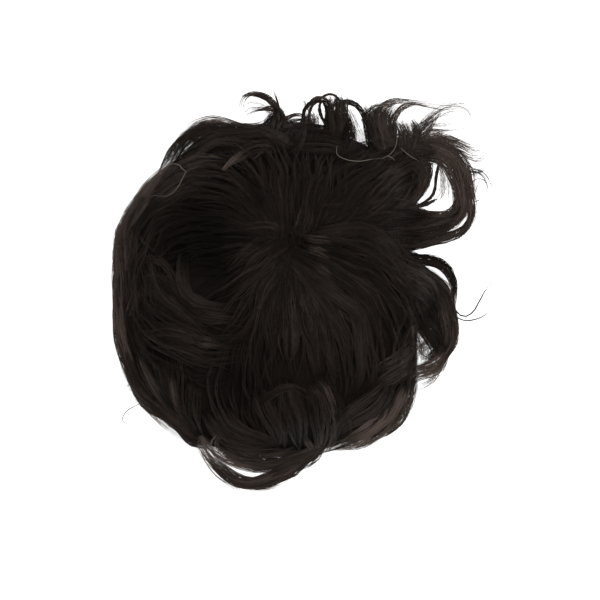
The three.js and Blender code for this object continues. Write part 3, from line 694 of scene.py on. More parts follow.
# %% [markdown]
# Middle lines of the tufts
#
# Wavy hair gathers into fine tufts, and the light that runs along them is what the eye reads as hair.
# So each lock is split into tufts that differ a little. A filling lock is walked in small steps while
# it turns, as its row says. A drawn lock follows a smooth curve through its points.

# %% Middle lines of a filling lock and of a drawn lock
SEED = 7
LINE_POINTS = 48
WHORL_LEFT = np.array([-12, 33])
WHORL_RIGHT = np.array([15, 33])
WHORL_NEAR = 42
LEAST_REACH = 6
TURN_LENGTH = 100
LENGTH_SHARES = (0.85, 1.06)
HEADING_SPREAD = 3
BEND_SPREAD = 8
CURL_SPREAD = 6
CURL_SHARE_SPREAD = 0.04
DRAWN_STARTS = (0, 0.15)
DRAWN_ENDS = (0.9, 1)
rng = np.random.default_rng(SEED)


def reach_to_part(lock):
    """How far a lock's hairs start behind its root: those near the crown start at the parting."""
    root = np.array([lock["x"], lock["y"]])
    across = WHORL_RIGHT - WHORL_LEFT
    share = np.clip(np.dot(root - WHORL_LEFT, across) / np.dot(across, across), 0, 1)
    distance = np.linalg.norm(root - WHORL_LEFT - across * share)
    return max(LEAST_REACH, distance) if distance < WHORL_NEAR else LEAST_REACH


def walked_lines(lock, count):
    """Plan lines of the tufts of a filling lock, and the distance walked from its root."""
    reach = reach_to_part(lock)
    each = (count, 1)
    length = lock["length"] * rng.uniform(*LENGTH_SHARES, each)
    heading = lock["heading"] + rng.normal(0, HEADING_SPREAD, each)
    bend = lock["bend"] + rng.normal(0, BEND_SPREAD, each)
    curl = lock["curl"] * rng.normal(1, CURL_SHARE_SPREAD, each) + rng.normal(0, CURL_SPREAD, each)
    walked = np.linspace(0, 1, LINE_POINTS) * (length + reach) - reach
    share = np.clip(walked / length, 0, 1)
    # The turn rises smoothly from the bend to the curl, and this is its sum up to each point.
    turned = bend * share + (curl - bend) * (share**3 - share**4 / 2)
    facing = np.radians(heading + length / TURN_LENGTH * turned)
    stride = (length + reach) / (LINE_POINTS - 1)
    back = np.radians(lock["heading"])
    x = lock["x"] - reach * np.cos(back) + np.cumsum(np.cos(facing) * stride, axis=1)
    y = lock["y"] - reach * np.sin(back) + np.cumsum(np.sin(facing) * stride, axis=1)
    return x, y, share, walked + reach


def curve_through(points, shares):
    """Places on a smooth curve through some points, at shares of its length."""
    knots = np.concatenate([[0], np.cumsum(np.linalg.norm(np.diff(points, axis=0), axis=1))])
    slopes = np.gradient(points, knots, axis=0)
    place = np.clip(shares, 0, 1) * knots[-1]
    span = np.clip(np.searchsorted(knots, place, side="right") - 1, 0, len(knots) - 2)
    step = knots[span + 1] - knots[span]
    t = ((place - knots[span]) / step)[..., None]
    rise = smooth_rise(t)
    leave = (t - 2 * t**2 + t**3) * slopes[span] * step[..., None]
    arrive = (t**3 - t**2) * slopes[span + 1] * step[..., None]
    return points[span] * (1 - rise) + points[span + 1] * rise + leave + arrive, knots[-1]


def drawn_lines(lock, count):
    """Plan lines of the tufts of a drawn lock, and the distance along it from its root."""
    begin = rng.uniform(*DRAWN_STARTS, (count, 1))
    end = rng.uniform(*DRAWN_ENDS, (count, 1))
    share = begin + (end - begin) * np.linspace(0, 1, LINE_POINTS)
    place, length = curve_through(np.array(lock["points"], float), share)
    return place[..., 0], place[..., 1], share, (share - begin) * length


drawn_rows = [row for rows in DRAWN_BY_PIECE.values() for row in rows]
drawn_lengths = [curve_through(np.array(row[-1], float), np.zeros(1))[1] for row in drawn_rows]
print("drawn locks are", round(min(drawn_lengths)), "to", round(max(drawn_lengths)), "mm long")

# %% [markdown]
# Tufts laid over the form
#
# A tuft is moved sideways to its place in the lock, and is then laid on the draped surface. Tufts in
# the middle of a lock can lie higher than those at its sides, so a lock is round. Its root dips under
# the hair around it, so no cut end shows, but at the crown the roots stand up a little.

# %% Tufts laid over the form
LOCK_SINK = 2
ROOT_DIVE = 3
DIVE_LENGTH = 9
PARTING_Y = 28
PARTING_HALF = (24, 20)
PARTING_RISE = 1.9
WAVE_LENGTH = 40
WAVE_HEIGHT = 1.8
WAVE_ASIDE = 1.5
WAVE_WIDTH = 10
WAVE_GROWTH = 3
WAVE_SPREAD = 0.6
ACROSS_SPREAD = 0.06
DEPTHS = (-0.4, 1)
ROUND_SHARE = 1.1
LIFT_END = 0.85
LOWEST = 0.6
LOCK_TAPER = {"root": 0.6, "full_from": 0.3, "narrow_from": 0.5}


def taper(share, root, full_from, narrow_from, tip):
    """Share of the full width along a lock or a hair, which swells from its root and narrows to its tip."""
    swell = root + (1 - root) * smooth_rise(share / full_from)
    return swell * (1 - (1 - tip) * smooth_rise((share - narrow_from) / (1 - narrow_from)))


def held_in(x, y):
    """Draws points back that lie beyond the hair's reach."""
    ease = np.minimum(1, coat_reach(np.degrees(np.arctan2(y, x))) / np.maximum(np.hypot(x, y), 1))
    return x * ease, y * ease


def facing_along(x, y):
    """The way that lines of the plan face at each of their points."""
    return np.arctan2(np.gradient(y, axis=1), np.gradient(x, axis=1))


def moved_aside(x, y, facing, aside):
    """Points of the plan moved to the left of the way they face."""
    return x - np.sin(facing) * aside, y + np.cos(facing) * aside


def lay_tufts(lock, x, y, share, from_root):
    """Lines of a lock's tufts laid over the form, with their sideways and outward directions."""
    count = len(x)
    each = (count, 1)
    across = rng.permutation(np.linspace(-1, 1, count))[:, None] + rng.normal(0, ACROSS_SPREAD, each)
    depth = rng.uniform(*DEPTHS, each) * np.sqrt(np.clip(ROUND_SHARE - across**2, 0, 1))
    turn_start = rng.uniform(0, 2 * np.pi) + rng.normal(0, WAVE_SPREAD, each)
    turn = 2 * np.pi * from_root / WAVE_LENGTH + turn_start
    full = smooth_rise(share * WAVE_GROWTH)
    narrow = min(1, lock["width"] / WAVE_WIDTH)
    breadth = taper(share, tip=lock["tip"], **LOCK_TAPER)
    aside = across * lock["width"] / 2 * breadth + WAVE_ASIDE * narrow * np.sin(turn) * full
    x, y = moved_aside(x, y, facing_along(x, y), aside)
    if lock["filling"]:
        x, y = held_in(x, y)

    rest = lock["thickness"] * breadth / 2
    lying = np.maximum(drape_height(x, y) - LOCK_SINK, rest)
    lifted = lock["lift"] * np.sin(np.pi * np.minimum(share / LIFT_END, 1))
    wave = WAVE_HEIGHT * narrow * np.cos(turn) * full
    parting = np.exp(-((x / PARTING_HALF[0]) ** 2) - ((y - PARTING_Y) / PARTING_HALF[1]) ** 2)
    dive = ROOT_DIVE * (1 - PARTING_RISE * parting) * (1 - smooth_rise(from_root / DIVE_LENGTH))
    z = np.maximum(lying + lifted + depth * rest + wave - dive, LOWEST)

    line = np.stack([x, y, z], axis=-1)
    ahead = unit(np.gradient(line, axis=1))
    normal = drape_normal(x, y)
    outward = unit(normal - ahead * np.sum(normal * ahead, axis=-1, keepdims=True))
    return line, np.cross(ahead, outward), outward


print("width left at a lock's root:", taper(0.0, tip=1, **LOCK_TAPER))

# %% [markdown]
# From a tuft to its hairs
#
# A hair keeps its place in its tuft, closer to the middle line toward the tip, with a slight ripple
# of its own, and a few spring away. Its tone is near its lock's, with painted shade that darkens it
# where it lies low in a dip, for the shade that falls there.
# Hair curves would be lighter to edit, but a piece has to be a mesh, so each hair is a closed tube with
# three sides. A lock that turns more gets more steps.

# %% Hairs of a tuft
HAIRS_PER_TUFT = 7
TUFT_RADIUS = 1.25
TUFT_TIP_SHARE = 0.45
FEWEST_STEPS = 6
MOST_STEPS = 14
STRAIGHT_STEPS = 4
TURN_PER_STEP = 24
HAIR_ENDS = (0.84, 1)
RIPPLE = 0.32
RIPPLE_TURN = 15
STRAY_SHARE = 0.025
STRAY_SPREAD = (0.5, 2.5)
TUFT_UNEVENNESS = 0.034
HAIR_UNEVENNESS = 0.032
LIGHT_UNEVENNESS = 4
HAIR_RADIUS = 0.135
# Painted shade: how much a hair's tone is darkened where it lies below the plain dome, and from what depth.
PAINTED_DIP_SHADE = 0.97
PAINTED_SHADE_START = 0.5
PAINTED_SHADE_DEPTH = 9


def hairs_of_tufts(line, sideways, outward, radius, lock_tone):
    """Middle lines, ring directions and tones of the hairs of some tufts."""
    facing = np.arctan2(np.diff(line[..., 1]), np.diff(line[..., 0]))
    turned = np.degrees(np.abs(np.diff(np.unwrap(facing))).sum(axis=1).mean())
    steps = int(np.clip(STRAIGHT_STEPS + turned / TURN_PER_STEP, FEWEST_STEPS, MOST_STEPS))
    count = (len(line), HAIRS_PER_TUFT, 1)
    from_middle = np.sqrt(rng.uniform(0, 1, count))
    around = rng.uniform(0, 2 * np.pi, count)
    end = rng.uniform(*HAIR_ENDS, count)
    stray = np.where(rng.uniform(0, 1, count) < STRAY_SHARE, rng.uniform(*STRAY_SPREAD, count), 0)
    ripple_start = rng.uniform(0, 2 * np.pi, count)
    uneven = rng.normal(0, TUFT_UNEVENNESS, (len(line), 1, 1)) + rng.normal(0, HAIR_UNEVENNESS, count)
    tone = lock_tone + (1 + LIGHT_UNEVENNESS * lock_tone) * uneven

    share = np.linspace(0, 1, steps + 1) * end
    gathering = 1 - (1 - TUFT_TIP_SHARE) * smooth_rise(share)
    spread = radius * (gathering * from_middle + stray * share**2)
    ripple = RIPPLE * np.sin(share * RIPPLE_TURN + ripple_start)
    place = share * (LINE_POINTS - 1)
    low = np.minimum(np.floor(place).astype(int), LINE_POINTS - 2)
    part = (place - low)[..., None]
    tuft = np.arange(len(line))[:, None, None]

    def at(values):
        """Values of the tufts' lines at the steps of their hairs."""
        return values[tuft, low] * (1 - part) + values[tuft, low + 1] * part

    side, out = at(sideways), at(outward)
    middle = at(line) + side * (np.cos(around) * spread + ripple)[..., None]
    middle += out * (np.sin(around) * spread)[..., None]
    middle[..., 2] = np.maximum(middle[..., 2], 2 * HAIR_RADIUS)
    # Painted shade: the tone darkens as the hair lies deeper below the plain dome, for the shade in
    # hollows.
    dip = hair_form(middle[..., 0], middle[..., 1])[0] - middle[..., 2] - PAINTED_SHADE_START
    tone = np.clip(tone, 0, 1) * (1 - PAINTED_DIP_SHADE * smooth_rise(dip / PAINTED_SHADE_DEPTH))
    shape = (-1, steps + 1, 3)
    return middle.reshape(shape), side.reshape(shape), out.reshape(shape), tone.reshape(-1, steps + 1)


print("hairs in a tuft:", HAIRS_PER_TUFT, "steps in a hair:", FEWEST_STEPS, "to", MOST_STEPS)

# %% [markdown]
# Tubes from arrays
#
# All the tubes of a piece are made in one go: the corners of every ring are found with arrays, the
# faces are numbered, and the mesh takes them whole. The tone of a hair and the share of its length go
# in its UV map, where its material will read them.

# %% Tubes along the hairs
HAIR_SIDES = 3
HAIR_TAPER = {"root": 0.7, "full_from": 0.25, "narrow_from": 0.55, "tip": 0.35}


def tube_arrays(middle, side, out, tone, radius):
    """Points, face corners, face sizes and corner UVs of closed tubes along some lines."""
    hairs, rings, _ = middle.shape
    share = np.linspace(0, 1, rings)
    thickness = radius * taper(share, **HAIR_TAPER)
    corner = np.arange(HAIR_SIDES) * 2 * np.pi / HAIR_SIDES
    ring = side[:, :, None] * np.cos(corner)[:, None] + out[:, :, None] * np.sin(corner)[:, None]
    points = (middle[:, :, None] + ring * thickness[:, None, None]).reshape(-1, 3)

    first = np.arange(hairs)[:, None, None] * rings * HAIR_SIDES
    step = np.arange(rings - 1)[:, None] * HAIR_SIDES
    here = np.arange(HAIR_SIDES)
    after = (here + 1) % HAIR_SIDES
    quad = (step + here, step + after, step + HAIR_SIDES + after, step + HAIR_SIDES + here)
    walls = np.stack([first + place for place in quad], axis=-1)
    start_caps = first[:, :, 0] + here[::-1]
    end_caps = first[:, :, 0] + (rings - 1) * HAIR_SIDES + here
    corners = np.concatenate([walls.reshape(-1), start_caps.reshape(-1), end_caps.reshape(-1)])
    sizes = np.concatenate([np.full(walls.size // 4, 4), np.full(2 * hairs, HAIR_SIDES)])
    tones = np.broadcast_to(tone[:, :, None], (hairs, rings, HAIR_SIDES))
    shares = np.broadcast_to(share[None, :, None], (hairs, rings, HAIR_SIDES))
    uv = np.stack([tones, shares], axis=-1).reshape(-1, 2)[corners]
    return points, corners, sizes, uv


def tube_piece(name, groups):
    """One piece of hair from the tube arrays of its locks."""
    starts = np.cumsum([0] + [len(group[0]) for group in groups])
    points = np.concatenate([group[0] for group in groups]) * MM
    points += (PLAN_MIDDLE.x, PLAN_MIDDLE.y, 0)
    corners = np.concatenate([group[1] + start for group, start in zip(groups, starts)])
    sizes = np.concatenate([group[2] for group in groups])
    uv = np.concatenate([group[3] for group in groups])
    mesh = bpy.data.meshes.new(name)
    mesh.vertices.add(len(points))
    mesh.vertices.foreach_set("co", points.reshape(-1).astype(np.float32))
    mesh.loops.add(len(corners))
    mesh.loops.foreach_set("vertex_index", corners.astype(np.int32))
    mesh.polygons.add(len(sizes))
    mesh.polygons.foreach_set("loop_start", (np.cumsum(sizes) - sizes).astype(np.int32))
    layer = mesh.uv_layers.new(name="OFBake")
    layer.data.foreach_set("uv", uv.reshape(-1).astype(np.float32))
    mesh.update(calc_edges=True)
    mesh.validate()
    mesh.shade_smooth()
    piece = add_piece(name, mesh)
    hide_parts("hair")
    print(name, "triangles:", int(np.sum(sizes - 2)))
    return piece


print("wall triangles of a hair:", 2 * HAIR_SIDES * FEWEST_STEPS, "to", 2 * HAIR_SIDES * MOST_STEPS)

# %% [markdown]
# All the locks
#
# Now every row is turned into hairs, a piece for each part of the head, so that no piece grows too
# heavy to handle. Locks that stand free at the edge get slightly thicker hairs, so that they look
# closed against the white floor.

# %% Make the hair pieces
FILL_TUFT_AREA = 207
DRAWN_TUFT_AREA = 38
FEWEST_TUFTS = 5
FILL_TONE = 0.085
LOOSE_PIECES = ("crest_top_edge", "crest_front_edge", "crest_bulge", "crest_open_curl", "crest_tuft")
LOOSE_HAIR_RADIUS = 0.2
FILL_TIP = 0.4
FULL_THICKNESS = 6
TUFTS_ACROSS = 4


def lock_tubes(lock, lines, tuft_area, length, hair_radius):
    """Tube arrays of one lock, whose lines are made by the function given."""
    fullness = max(1, lock["thickness"] / FULL_THICKNESS)
    count = max(FEWEST_TUFTS, round(lock["width"] * length * fullness / tuft_area))
    tufts = lay_tufts(lock, *lines(lock, count))
    radius = min(TUFT_RADIUS, lock["thickness"] / TUFTS_ACROSS, lock["width"] / TUFTS_ACROSS)
    return tube_arrays(*hairs_of_tufts(*tufts, radius, lock["tone"]), hair_radius)


def filling_tubes(row):
    """Tube arrays of a lock that fills the form."""
    lock = dict(zip(LOCK_COLUMNS, row), tone=FILL_TONE, tip=FILL_TIP, filling=True)
    return lock_tubes(lock, walked_lines, FILL_TUFT_AREA, lock["length"], HAIR_RADIUS)


def drawn_tubes(row, hair_radius):
    """Tube arrays of a lock that shows."""
    lock = dict(zip(DRAWN_COLUMNS, row), filling=False)
    length = np.linalg.norm(np.diff(np.array(lock["points"], float), axis=0), axis=1).sum()
    return lock_tubes(lock, drawn_lines, DRAWN_TUFT_AREA, length, hair_radius)


hair_pieces = []
for name, rows in LOCKS_BY_PIECE.items():
    hair_pieces.append(tube_piece(name, [filling_tubes(row) for row in rows]))
for name, rows in DRAWN_BY_PIECE.items():
    hair_radius = LOOSE_HAIR_RADIUS if name in LOOSE_PIECES else HAIR_RADIUS
    hair_pieces.append(tube_piece(name, [drawn_tubes(row, hair_radius) for row in rows]))

# %% [markdown]
# Stray hairs
#
# A few hairs leave the rest: wisps at the back right, thin curls at the sides, fuzz along the edge,
# thin veils in the openings, small pale hairs that paint glints of light, and some pale hairs that lie
# on top. Each row gives the number of hairs, how wide their tips fan, their radius and tone, their
# height over the hair, and the points of their path. Each hair also swings a little from side to side.

# %% One row for each group of stray hairs
STRAY_COLUMNS = ("name", "count", "fan", "radius", "tone", "height", "points")
STRAY_ROWS = [
    ("right_first", 3, 1, 0.5, 0.04, 2, (
        (102, 4), (103.6, -3), (103.2, -9), (104.5, -14.5), (107.5, -17.8), (110.8, -18.5), (114.6, -16.4),
        (119.8, -8.1), (125, 0.2), (129.5, 3.2))),
    ("right_second", 3, 1, 0.34, 0.1, 2, (
        (101, -8), (102, -14), (104.5, -18.5), (109.4, -21.1), (116.7, -20.6), (123.9, -17.5),
        (128, -13.5))),
    ("right_third", 4, 3, 0.2, 0.3, 2, ((100, -10), (102, -17), (104.5, -22), (106, -26))),
    ("slit_fuzz", 14, 2.2, 0.15, 0.45, 2, ((88, 14), (95, 10.5), (100, 5), (102.2, -1.5), (102.5, -8))),
    ("curl_fuzz", 16, 8, 0.13, 0.4, 2, ((92, 92), (106, 85), (114, 73), (115, 60), (116, 46))),
    ("curl_fuzz_low", 10, 6, 0.13, 0.4, 2, ((114, 60), (116, 48), (111, 37), (100, 31), (86, 28))),
    ("curl_first", 2, 1.5, 0.24, 0.5, 2, (
        (112, 56), (114.5, 65), (118, 68), (122.5, 67), (124, 63), (121, 56))),
    ("curl_second", 2, 1.5, 0.2, 0.6, 2, ((119.5, 68), (118, 64), (116.5, 58), (117.5, 52))),
    ("curl_third", 2, 2, 0.18, 0.4, 2, ((111, 58), (115, 54), (119, 55), (122, 59))),
    ("curl_veil", 24, 12, 0.1, 0.8, 2, ((94, 79), (97.5, 68), (97, 57), (90, 49))),
    ("wisp_first", 16, 10, 0.15, 0.65, 4, (
        (72, 88), (80, 98), (86, 104.5), (92, 109), (99, 112.3), (106, 113.8), (113, 112))),
    ("wisp_second", 14, 9, 0.15, 0.65, 4, (
        (74, 90), (82, 97.5), (90, 100), (98, 99.8), (105, 101), (114, 104.5))),
    ("wisp_third", 16, 9, 0.22, 0.6, 4, (
        (78, 86), (88, 93.5), (98, 92.5), (107, 89.8), (114, 86.5), (120, 86), (125, 89))),
    ("wisp_fourth", 14, 7, 0.22, 0.55, 4, (
        (86, 84), (97, 90), (106, 86.5), (113, 82.5), (119, 81.5), (125, 86))),
    ("wisp_curl", 6, 4, 0.2, 0.5, 2, (
        (108, 74), (113, 73), (118, 73.3), (122.5, 70.5), (125.5, 65), (126.5, 57))),
    ("wisp_top_inner", 6, 5, 0.15, 0.65, 4, (
        (65, 98), (66, 107), (69, 113), (76, 116), (86, 115), (97, 113.5))),
    ("wisp_top", 8, 6, 0.15, 0.65, 4, (
        (50, 107), (57, 114), (66, 117), (77, 116.5), (88, 114.5), (99, 113), (109, 113.5), (116, 109))),
    ("wisp_arc", 4, 6, 0.12, 0.7, 4, (
        (90, 108), (99, 113), (107, 113.8), (113, 110.5), (114.5, 105.5), (111, 102), (103, 100.5))),
    ("tuft_top", 12, 12, 0.16, 0.5, 3, ((46, 104), (51, 110), (58, 112.5), (66, 110), (72, 104))),
    ("tuft_frizz", 22, 14, 0.14, 0.6, 3, ((56, 99), (56, 106), (57, 111), (60, 116))),
    ("tuft_frizz_cross", 14, 9, 0.13, 0.7, 3, ((47, 106), (52, 111), (59, 112.5), (67, 108.5))),
    ("back_fuzz", 24, 7, 0.14, 0.8, 2, ((-24, 99.5), (-37, 103.5), (-50, 106), (-61, 102.5), (-71, 93))),
    ("hook_fuzz", 5, 4, 0.14, 0.4, 2, ((-10, 103), (-12, 108), (-14, 111), (-18, 108))),
    ("hook_arc", 12, 4, 0.22, 0.25, 3, (
        (-7, 104), (-8, 114), (-12, 119.3), (-20, 122.2), (-26, 121.5), (-29.5, 118), (-30.5, 113.5),
        (-28.5, 109))),
    ("hook_low", 7, 3, 0.2, 0.25, 3, ((-6, 106), (-12, 111.8), (-20, 112.3), (-26, 110), (-30, 107.5))),
    ("hook_spike", 4, 1.5, 0.34, 0.1, 3, ((-5.5, 106), (-7.3, 115), (-9.6, 122.5), (-11.5, 127))),
    ("hook_veil", 12, 8, 0.11, 0.7, 3, ((-10, 110), (-18, 114), (-26, 113.5), (-29, 109))),
    ("side_curl", 3, 1, 0.22, 0.4, 1, ((-88, -68), (-96, -74), (-104, -79), (-106, -84), (-101, -87))),
    ("side_low", 6, 6, 0.12, 0.4, 1, ((-97, -58), (-101, -62), (-104, -64))),
    ("rim_fuzz_back", 14, 6, 0.12, 0.4, 1, ((-80, 74), (-94, 59), (-105, 44), (-110, 30))),
    ("rim_fuzz", 14, 5, 0.12, 0.4, 1, ((-106, 34), (-110, 18), (-110, 2), (-109, -12))),
    ("rim_fuzz_front", 22, 6, 0.15, 0.8, 1, (
        (-108, 2), (-109.5, -14), (-109, -30), (-104, -48), (-98, -64))),
    ("left_edge", 8, 16, 0.12, 0.4, 1, ((-84, -72), (-90, -77), (-95, -79))),
    ("edge_right", 10, 4, 0.11, 0.5, 1, ((80, -56), (79, -66), (76, -76), (69, -86))),
    ("edge_back", 12, 4, 0.11, 0.5, 1, ((-46, 102.5), (-32, 101.5), (-20, 102), (-12, 106))),
    ("edge_front", 12, 4, 0.11, 0.5, 1, ((-42, -121), (-29, -126.5), (-14, -127), (2, -121))),
    ("edge_front_left", 14, 6, 0.11, 0.5, 1, ((-98, -62), (-91, -75), (-79, -87), (-66, -98))),
    ("hole_net", 10, 9, 0.16, 0.5, 3, ((77, -24), (79, -32), (82, -41), (82, -54))),
    ("hole_cross", 6, 10, 0.16, 0.6, 2, ((74, -36), (81, -39), (88, -42), (96, -40))),
    ("hole_veil", 40, 14, 0.11, 0.25, 2, ((80, -28), (83, -33), (86, -39), (90, -46))),
    ("hole_veil_cross", 44, 13, 0.11, 0.3, 2, ((92, -32), (87, -35.5), (83, -40), (79, -46))),
    ("bulge_fuzz", 16, 11, 0.13, 0.9, 1, ((99, -42), (94, -52), (88, -56), (78, -59))),
    ("lip_fuzz", 16, 5, 0.13, 0.65, 1, ((98, -42), (95, -50), (91, -57), (85.5, -61.5), (78, -64))),
    ("front_fuzz", 10, 8, 0.13, 0.4, 1, ((68, -80), (60, -90), (49, -97), (36, -101))),
    ("crescent_fuzz", 22, 9, 0.17, 0.7, 1, (
        (-34, -120), (-43, -115.5), (-50, -109), (-54.5, -101), (-52, -92))),
    ("bottom_loose", 22, 10, 0.17, 0.65, 1, (
        (-56, -93), (-51, -100), (-43, -106.5), (-33, -110.5), (-20, -113), (-6, -112.5), (4, -109))),
    ("crescent_veil", 14, 12, 0.16, 0.6, 1, ((-44, -92), (-47, -99), (-43, -105), (-32, -109.5))),
    ("crescent_slit", 14, 4, 0.1, 0.7, 1, (
        (-50, -102), (-44, -108.5), (-36, -113), (-25, -116.5), (-13, -116), (-3, -112))),
    ("crescent_outer", 12, 5, 0.11, 0.6, 1, (
        (-57, -100), (-52, -111), (-43.5, -120.5), (-33, -126), (-22, -128))),
    ("crescent_end", 16, 6, 0.13, 0.7, 1, (
        (-54, -94), (-53, -103), (-48, -110), (-40, -116), (-28, -121))),
    ("slot_fuzz", 7, 10, 0.12, 0.4, 1, ((44, 84), (45, 90), (46, 95), (44, 100))),
    ("slot_veil", 18, 12, 0.12, 0.7, 3, ((37, 112), (39.5, 104), (42.5, 95.5), (47.5, 87.5))),
    ("loop_veil", 10, 8, 0.12, 0.6, 3, ((9, 118), (12, 112), (15, 106), (18, 100))),
    # Painted highlights: pale hairs that stand for glints of light on the hair.
    ("glint_first", 7, 6, 0.15, 0.95, 3, ((-41, 71), (-37, 75), (-32, 79), (-26, 83.5))),
    ("glint_second", 4, 5, 0.12, 0.4, 3, ((-22, 78), (-18, 83), (-13, 90))),
]
PALE_ROWS = [
    ("pale_back", 1, 0, 0.22, 1, 6, ((29, 87), (29, 81), (34, 78), (43, 77), (52, 79), (60, 80))),
    ("pale_tuft", 1, 0, 0.22, 1, 16, ((57, 79), (62, 82), (66, 88), (67, 96), (66, 108))),
    ("pale_branch", 1, 0, 0.22, 1, 14, ((60, 81), (63, 80), (66, 77))),
    ("pale_curl", 1, 0, 0.22, 1, 14, ((69, 87), (74, 82.5), (84, 77))),
    ("pale_left", 1, 0, 0.22, 1, 5, (
        (-80, 76), (-74, 77), (-69, 76), (-67, 73), (-64, 72), (-66, 67), (-70, 60), (-75, 56.3),
        (-85, 57), (-100, 55))),
]
print("stray rows:", len(STRAY_ROWS), "pale hairs:", len(PALE_ROWS))

# %% Make the stray and pale hairs
STRAY_ENDS = (0.8, 1)
STRAY_ROOT_FAN = 0.3
STRAY_WAVES = (0.6, 1.8)
STRAY_WAVE_SHARE = 0.14
STRAY_LOWEST = 1.5


def stray_tubes(row):
    """Tube arrays of the hairs of one stray row."""
    stray = dict(zip(STRAY_COLUMNS, row))
    each = (stray["count"], 1)
    shares = np.linspace(0, 1, MOST_STEPS + 1) * rng.uniform(*STRAY_ENDS, each)
    place, _ = curve_through(np.array(stray["points"], float), shares)
    facing = facing_along(place[..., 0], place[..., 1])
    apart = rng.uniform(-0.5, 0.5, each) * (STRAY_ROOT_FAN + (1 - STRAY_ROOT_FAN) * shares)
    waves = rng.uniform(*STRAY_WAVES, each) * shares + rng.uniform(0, 1, each)
    swing = STRAY_WAVE_SHARE * shares * np.sin(2 * np.pi * waves)
    x, y = moved_aside(place[..., 0], place[..., 1], facing, stray["fan"] * (apart + swing))
    z = np.maximum(drape_height(x, y) + stray["height"], STRAY_LOWEST)
    middle = np.stack([x, y, z], axis=-1)
    side = np.stack([-np.sin(facing), np.cos(facing), np.zeros_like(facing)], axis=-1)
    up = np.broadcast_to((0.0, 0.0, 1.0), middle.shape)
    return tube_arrays(middle, side, up, np.full(x.shape, stray["tone"]), stray["radius"])


hair_pieces.append(tube_piece("stray_hairs", [stray_tubes(row) for row in STRAY_ROWS]))
pale_hairs = tube_piece("pale_hairs", [stray_tubes(row) for row in PALE_ROWS])

# %% [markdown]
# The finish of hair
#
# Dark brown hair is nearly black, with a soft gloss that runs where it lies level. Each hair holds its
# tone and the share of its length in its UV map, so one material can make some hairs browner and
# glossier, and their tips a little lighter. The mixing is shared with the under-coat, so it is a node
# group with its own inputs. The gloss itself stays in each material's shader.

# %% Shared tone group
ROOT_TONE = 0.035
TIP_TONE = 0.035
DARK_HAIR = (0.002, 0.0017, 0.0016, 1)
BROWN_HAIR = (0.134, 0.0995, 0.082, 1)
GLOSS_TONE = 0.12
DARK_ROUGHNESS = 0.9
BROWN_ROUGHNESS = 0.48


def set_inputs(node, values):
    """Sets some inputs of a node, each given by its name or number."""
    for key, value in values.items():
        node.inputs[key].default_value = value


def add_node(nodes, kind, values):
    """A new node with some of its inputs set."""
    node = nodes.new(kind)
    set_inputs(node, values)
    return node


def add_math(nodes, operation, values):
    """A new node that reckons with numbers."""
    node = add_node(nodes, "ShaderNodeMath", values)
    node.operation = operation
    return node


def add_colour_mix(nodes, first, second):
    """A new node that mixes two colours."""
    node = nodes.new("ShaderNodeMix")
    node.data_type = "RGBA"
    set_inputs(node, {"A": first, "B": second})
    return node


def hair_tone_group():
    """Node group: colour and roughness from a tone and a place along the hair."""
    group = bpy.data.node_groups.new("hair_tone", "ShaderNodeTree")
    group.interface.new_socket(name="Tone", in_out="INPUT", socket_type="NodeSocketFloat")
    group.interface.new_socket(name="Along", in_out="INPUT", socket_type="NodeSocketFloat")
    group.interface.new_socket(name="Color", in_out="OUTPUT", socket_type="NodeSocketColor")
    group.interface.new_socket(name="Roughness", in_out="OUTPUT", socket_type="NodeSocketFloat")
    nodes, links = group.nodes, group.links
    enter = nodes.new("NodeGroupInput")
    leave = nodes.new("NodeGroupOutput")
    tip = add_math(nodes, "MULTIPLY_ADD", {1: TIP_TONE, 2: ROOT_TONE})
    total = add_math(nodes, "ADD", {})
    mix = add_colour_mix(nodes, DARK_HAIR, BROWN_HAIR)
    gloss = add_node(nodes, "ShaderNodeMapRange", {
        "From Max": GLOSS_TONE, "To Min": DARK_ROUGHNESS, "To Max": BROWN_ROUGHNESS})
    links.new(enter.outputs["Along"], tip.inputs[0])
    links.new(enter.outputs["Tone"], total.inputs[0])
    links.new(tip.outputs[0], total.inputs[1])
    links.new(total.outputs[0], mix.inputs["Factor"])
    links.new(mix.outputs["Result"], leave.inputs["Color"])
    links.new(enter.outputs["Tone"], gloss.inputs["Value"])
    links.new(gloss.outputs["Result"], leave.inputs["Roughness"])
    return group


hair_tone = hair_tone_group()
print("tone group nodes:", len(hair_tone.nodes))

# %% Hair finishes
STRAND_SPECULAR = 0.14
STRAND_TINT = (1, 0.89, 0.84, 1)
COAT_SPECULAR = 0.05
COAT_TONE = 0.03
COAT_GRAIN = {"Scale": 900, "Detail": 3}
COAT_BUMP = {"Strength": 0.6, "Distance": 0.0006}
PALE_HAIR = (0.2, 0.175, 0.145, 1)
PALE_ROUGHNESS = 0.5
PALE_SPECULAR = 0.2


def new_material(name):
    """A material with its shader, its nodes and its links."""
    material = bpy.data.materials.new(name)
    material.use_nodes = True
    nodes = material.node_tree.nodes
    return material, nodes["Principled BSDF"], nodes, material.node_tree.links


def add_tone(nodes):
    """A new node that uses the shared tone group."""
    node = nodes.new("ShaderNodeGroup")
    node.node_tree = hair_tone
    return node


def strand_finish():
    """Finish of the single hairs, from the tone and share of length in their UV map."""
    material, shader, nodes, links = new_material("dark_hair")
    set_inputs(shader, {"Specular IOR Level": STRAND_SPECULAR, "Specular Tint": STRAND_TINT})
    uv = nodes.new("ShaderNodeUVMap")
    uv.uv_map = "OFBake"
    split = nodes.new("ShaderNodeSeparateXYZ")
    tone = add_tone(nodes)
    links.new(uv.outputs["UV"], split.inputs[0])
    links.new(split.outputs["X"], tone.inputs["Tone"])
    links.new(split.outputs["Y"], tone.inputs["Along"])
    links.new(tone.outputs["Color"], shader.inputs["Base Color"])
    links.new(tone.outputs["Roughness"], shader.inputs["Roughness"])
    return material


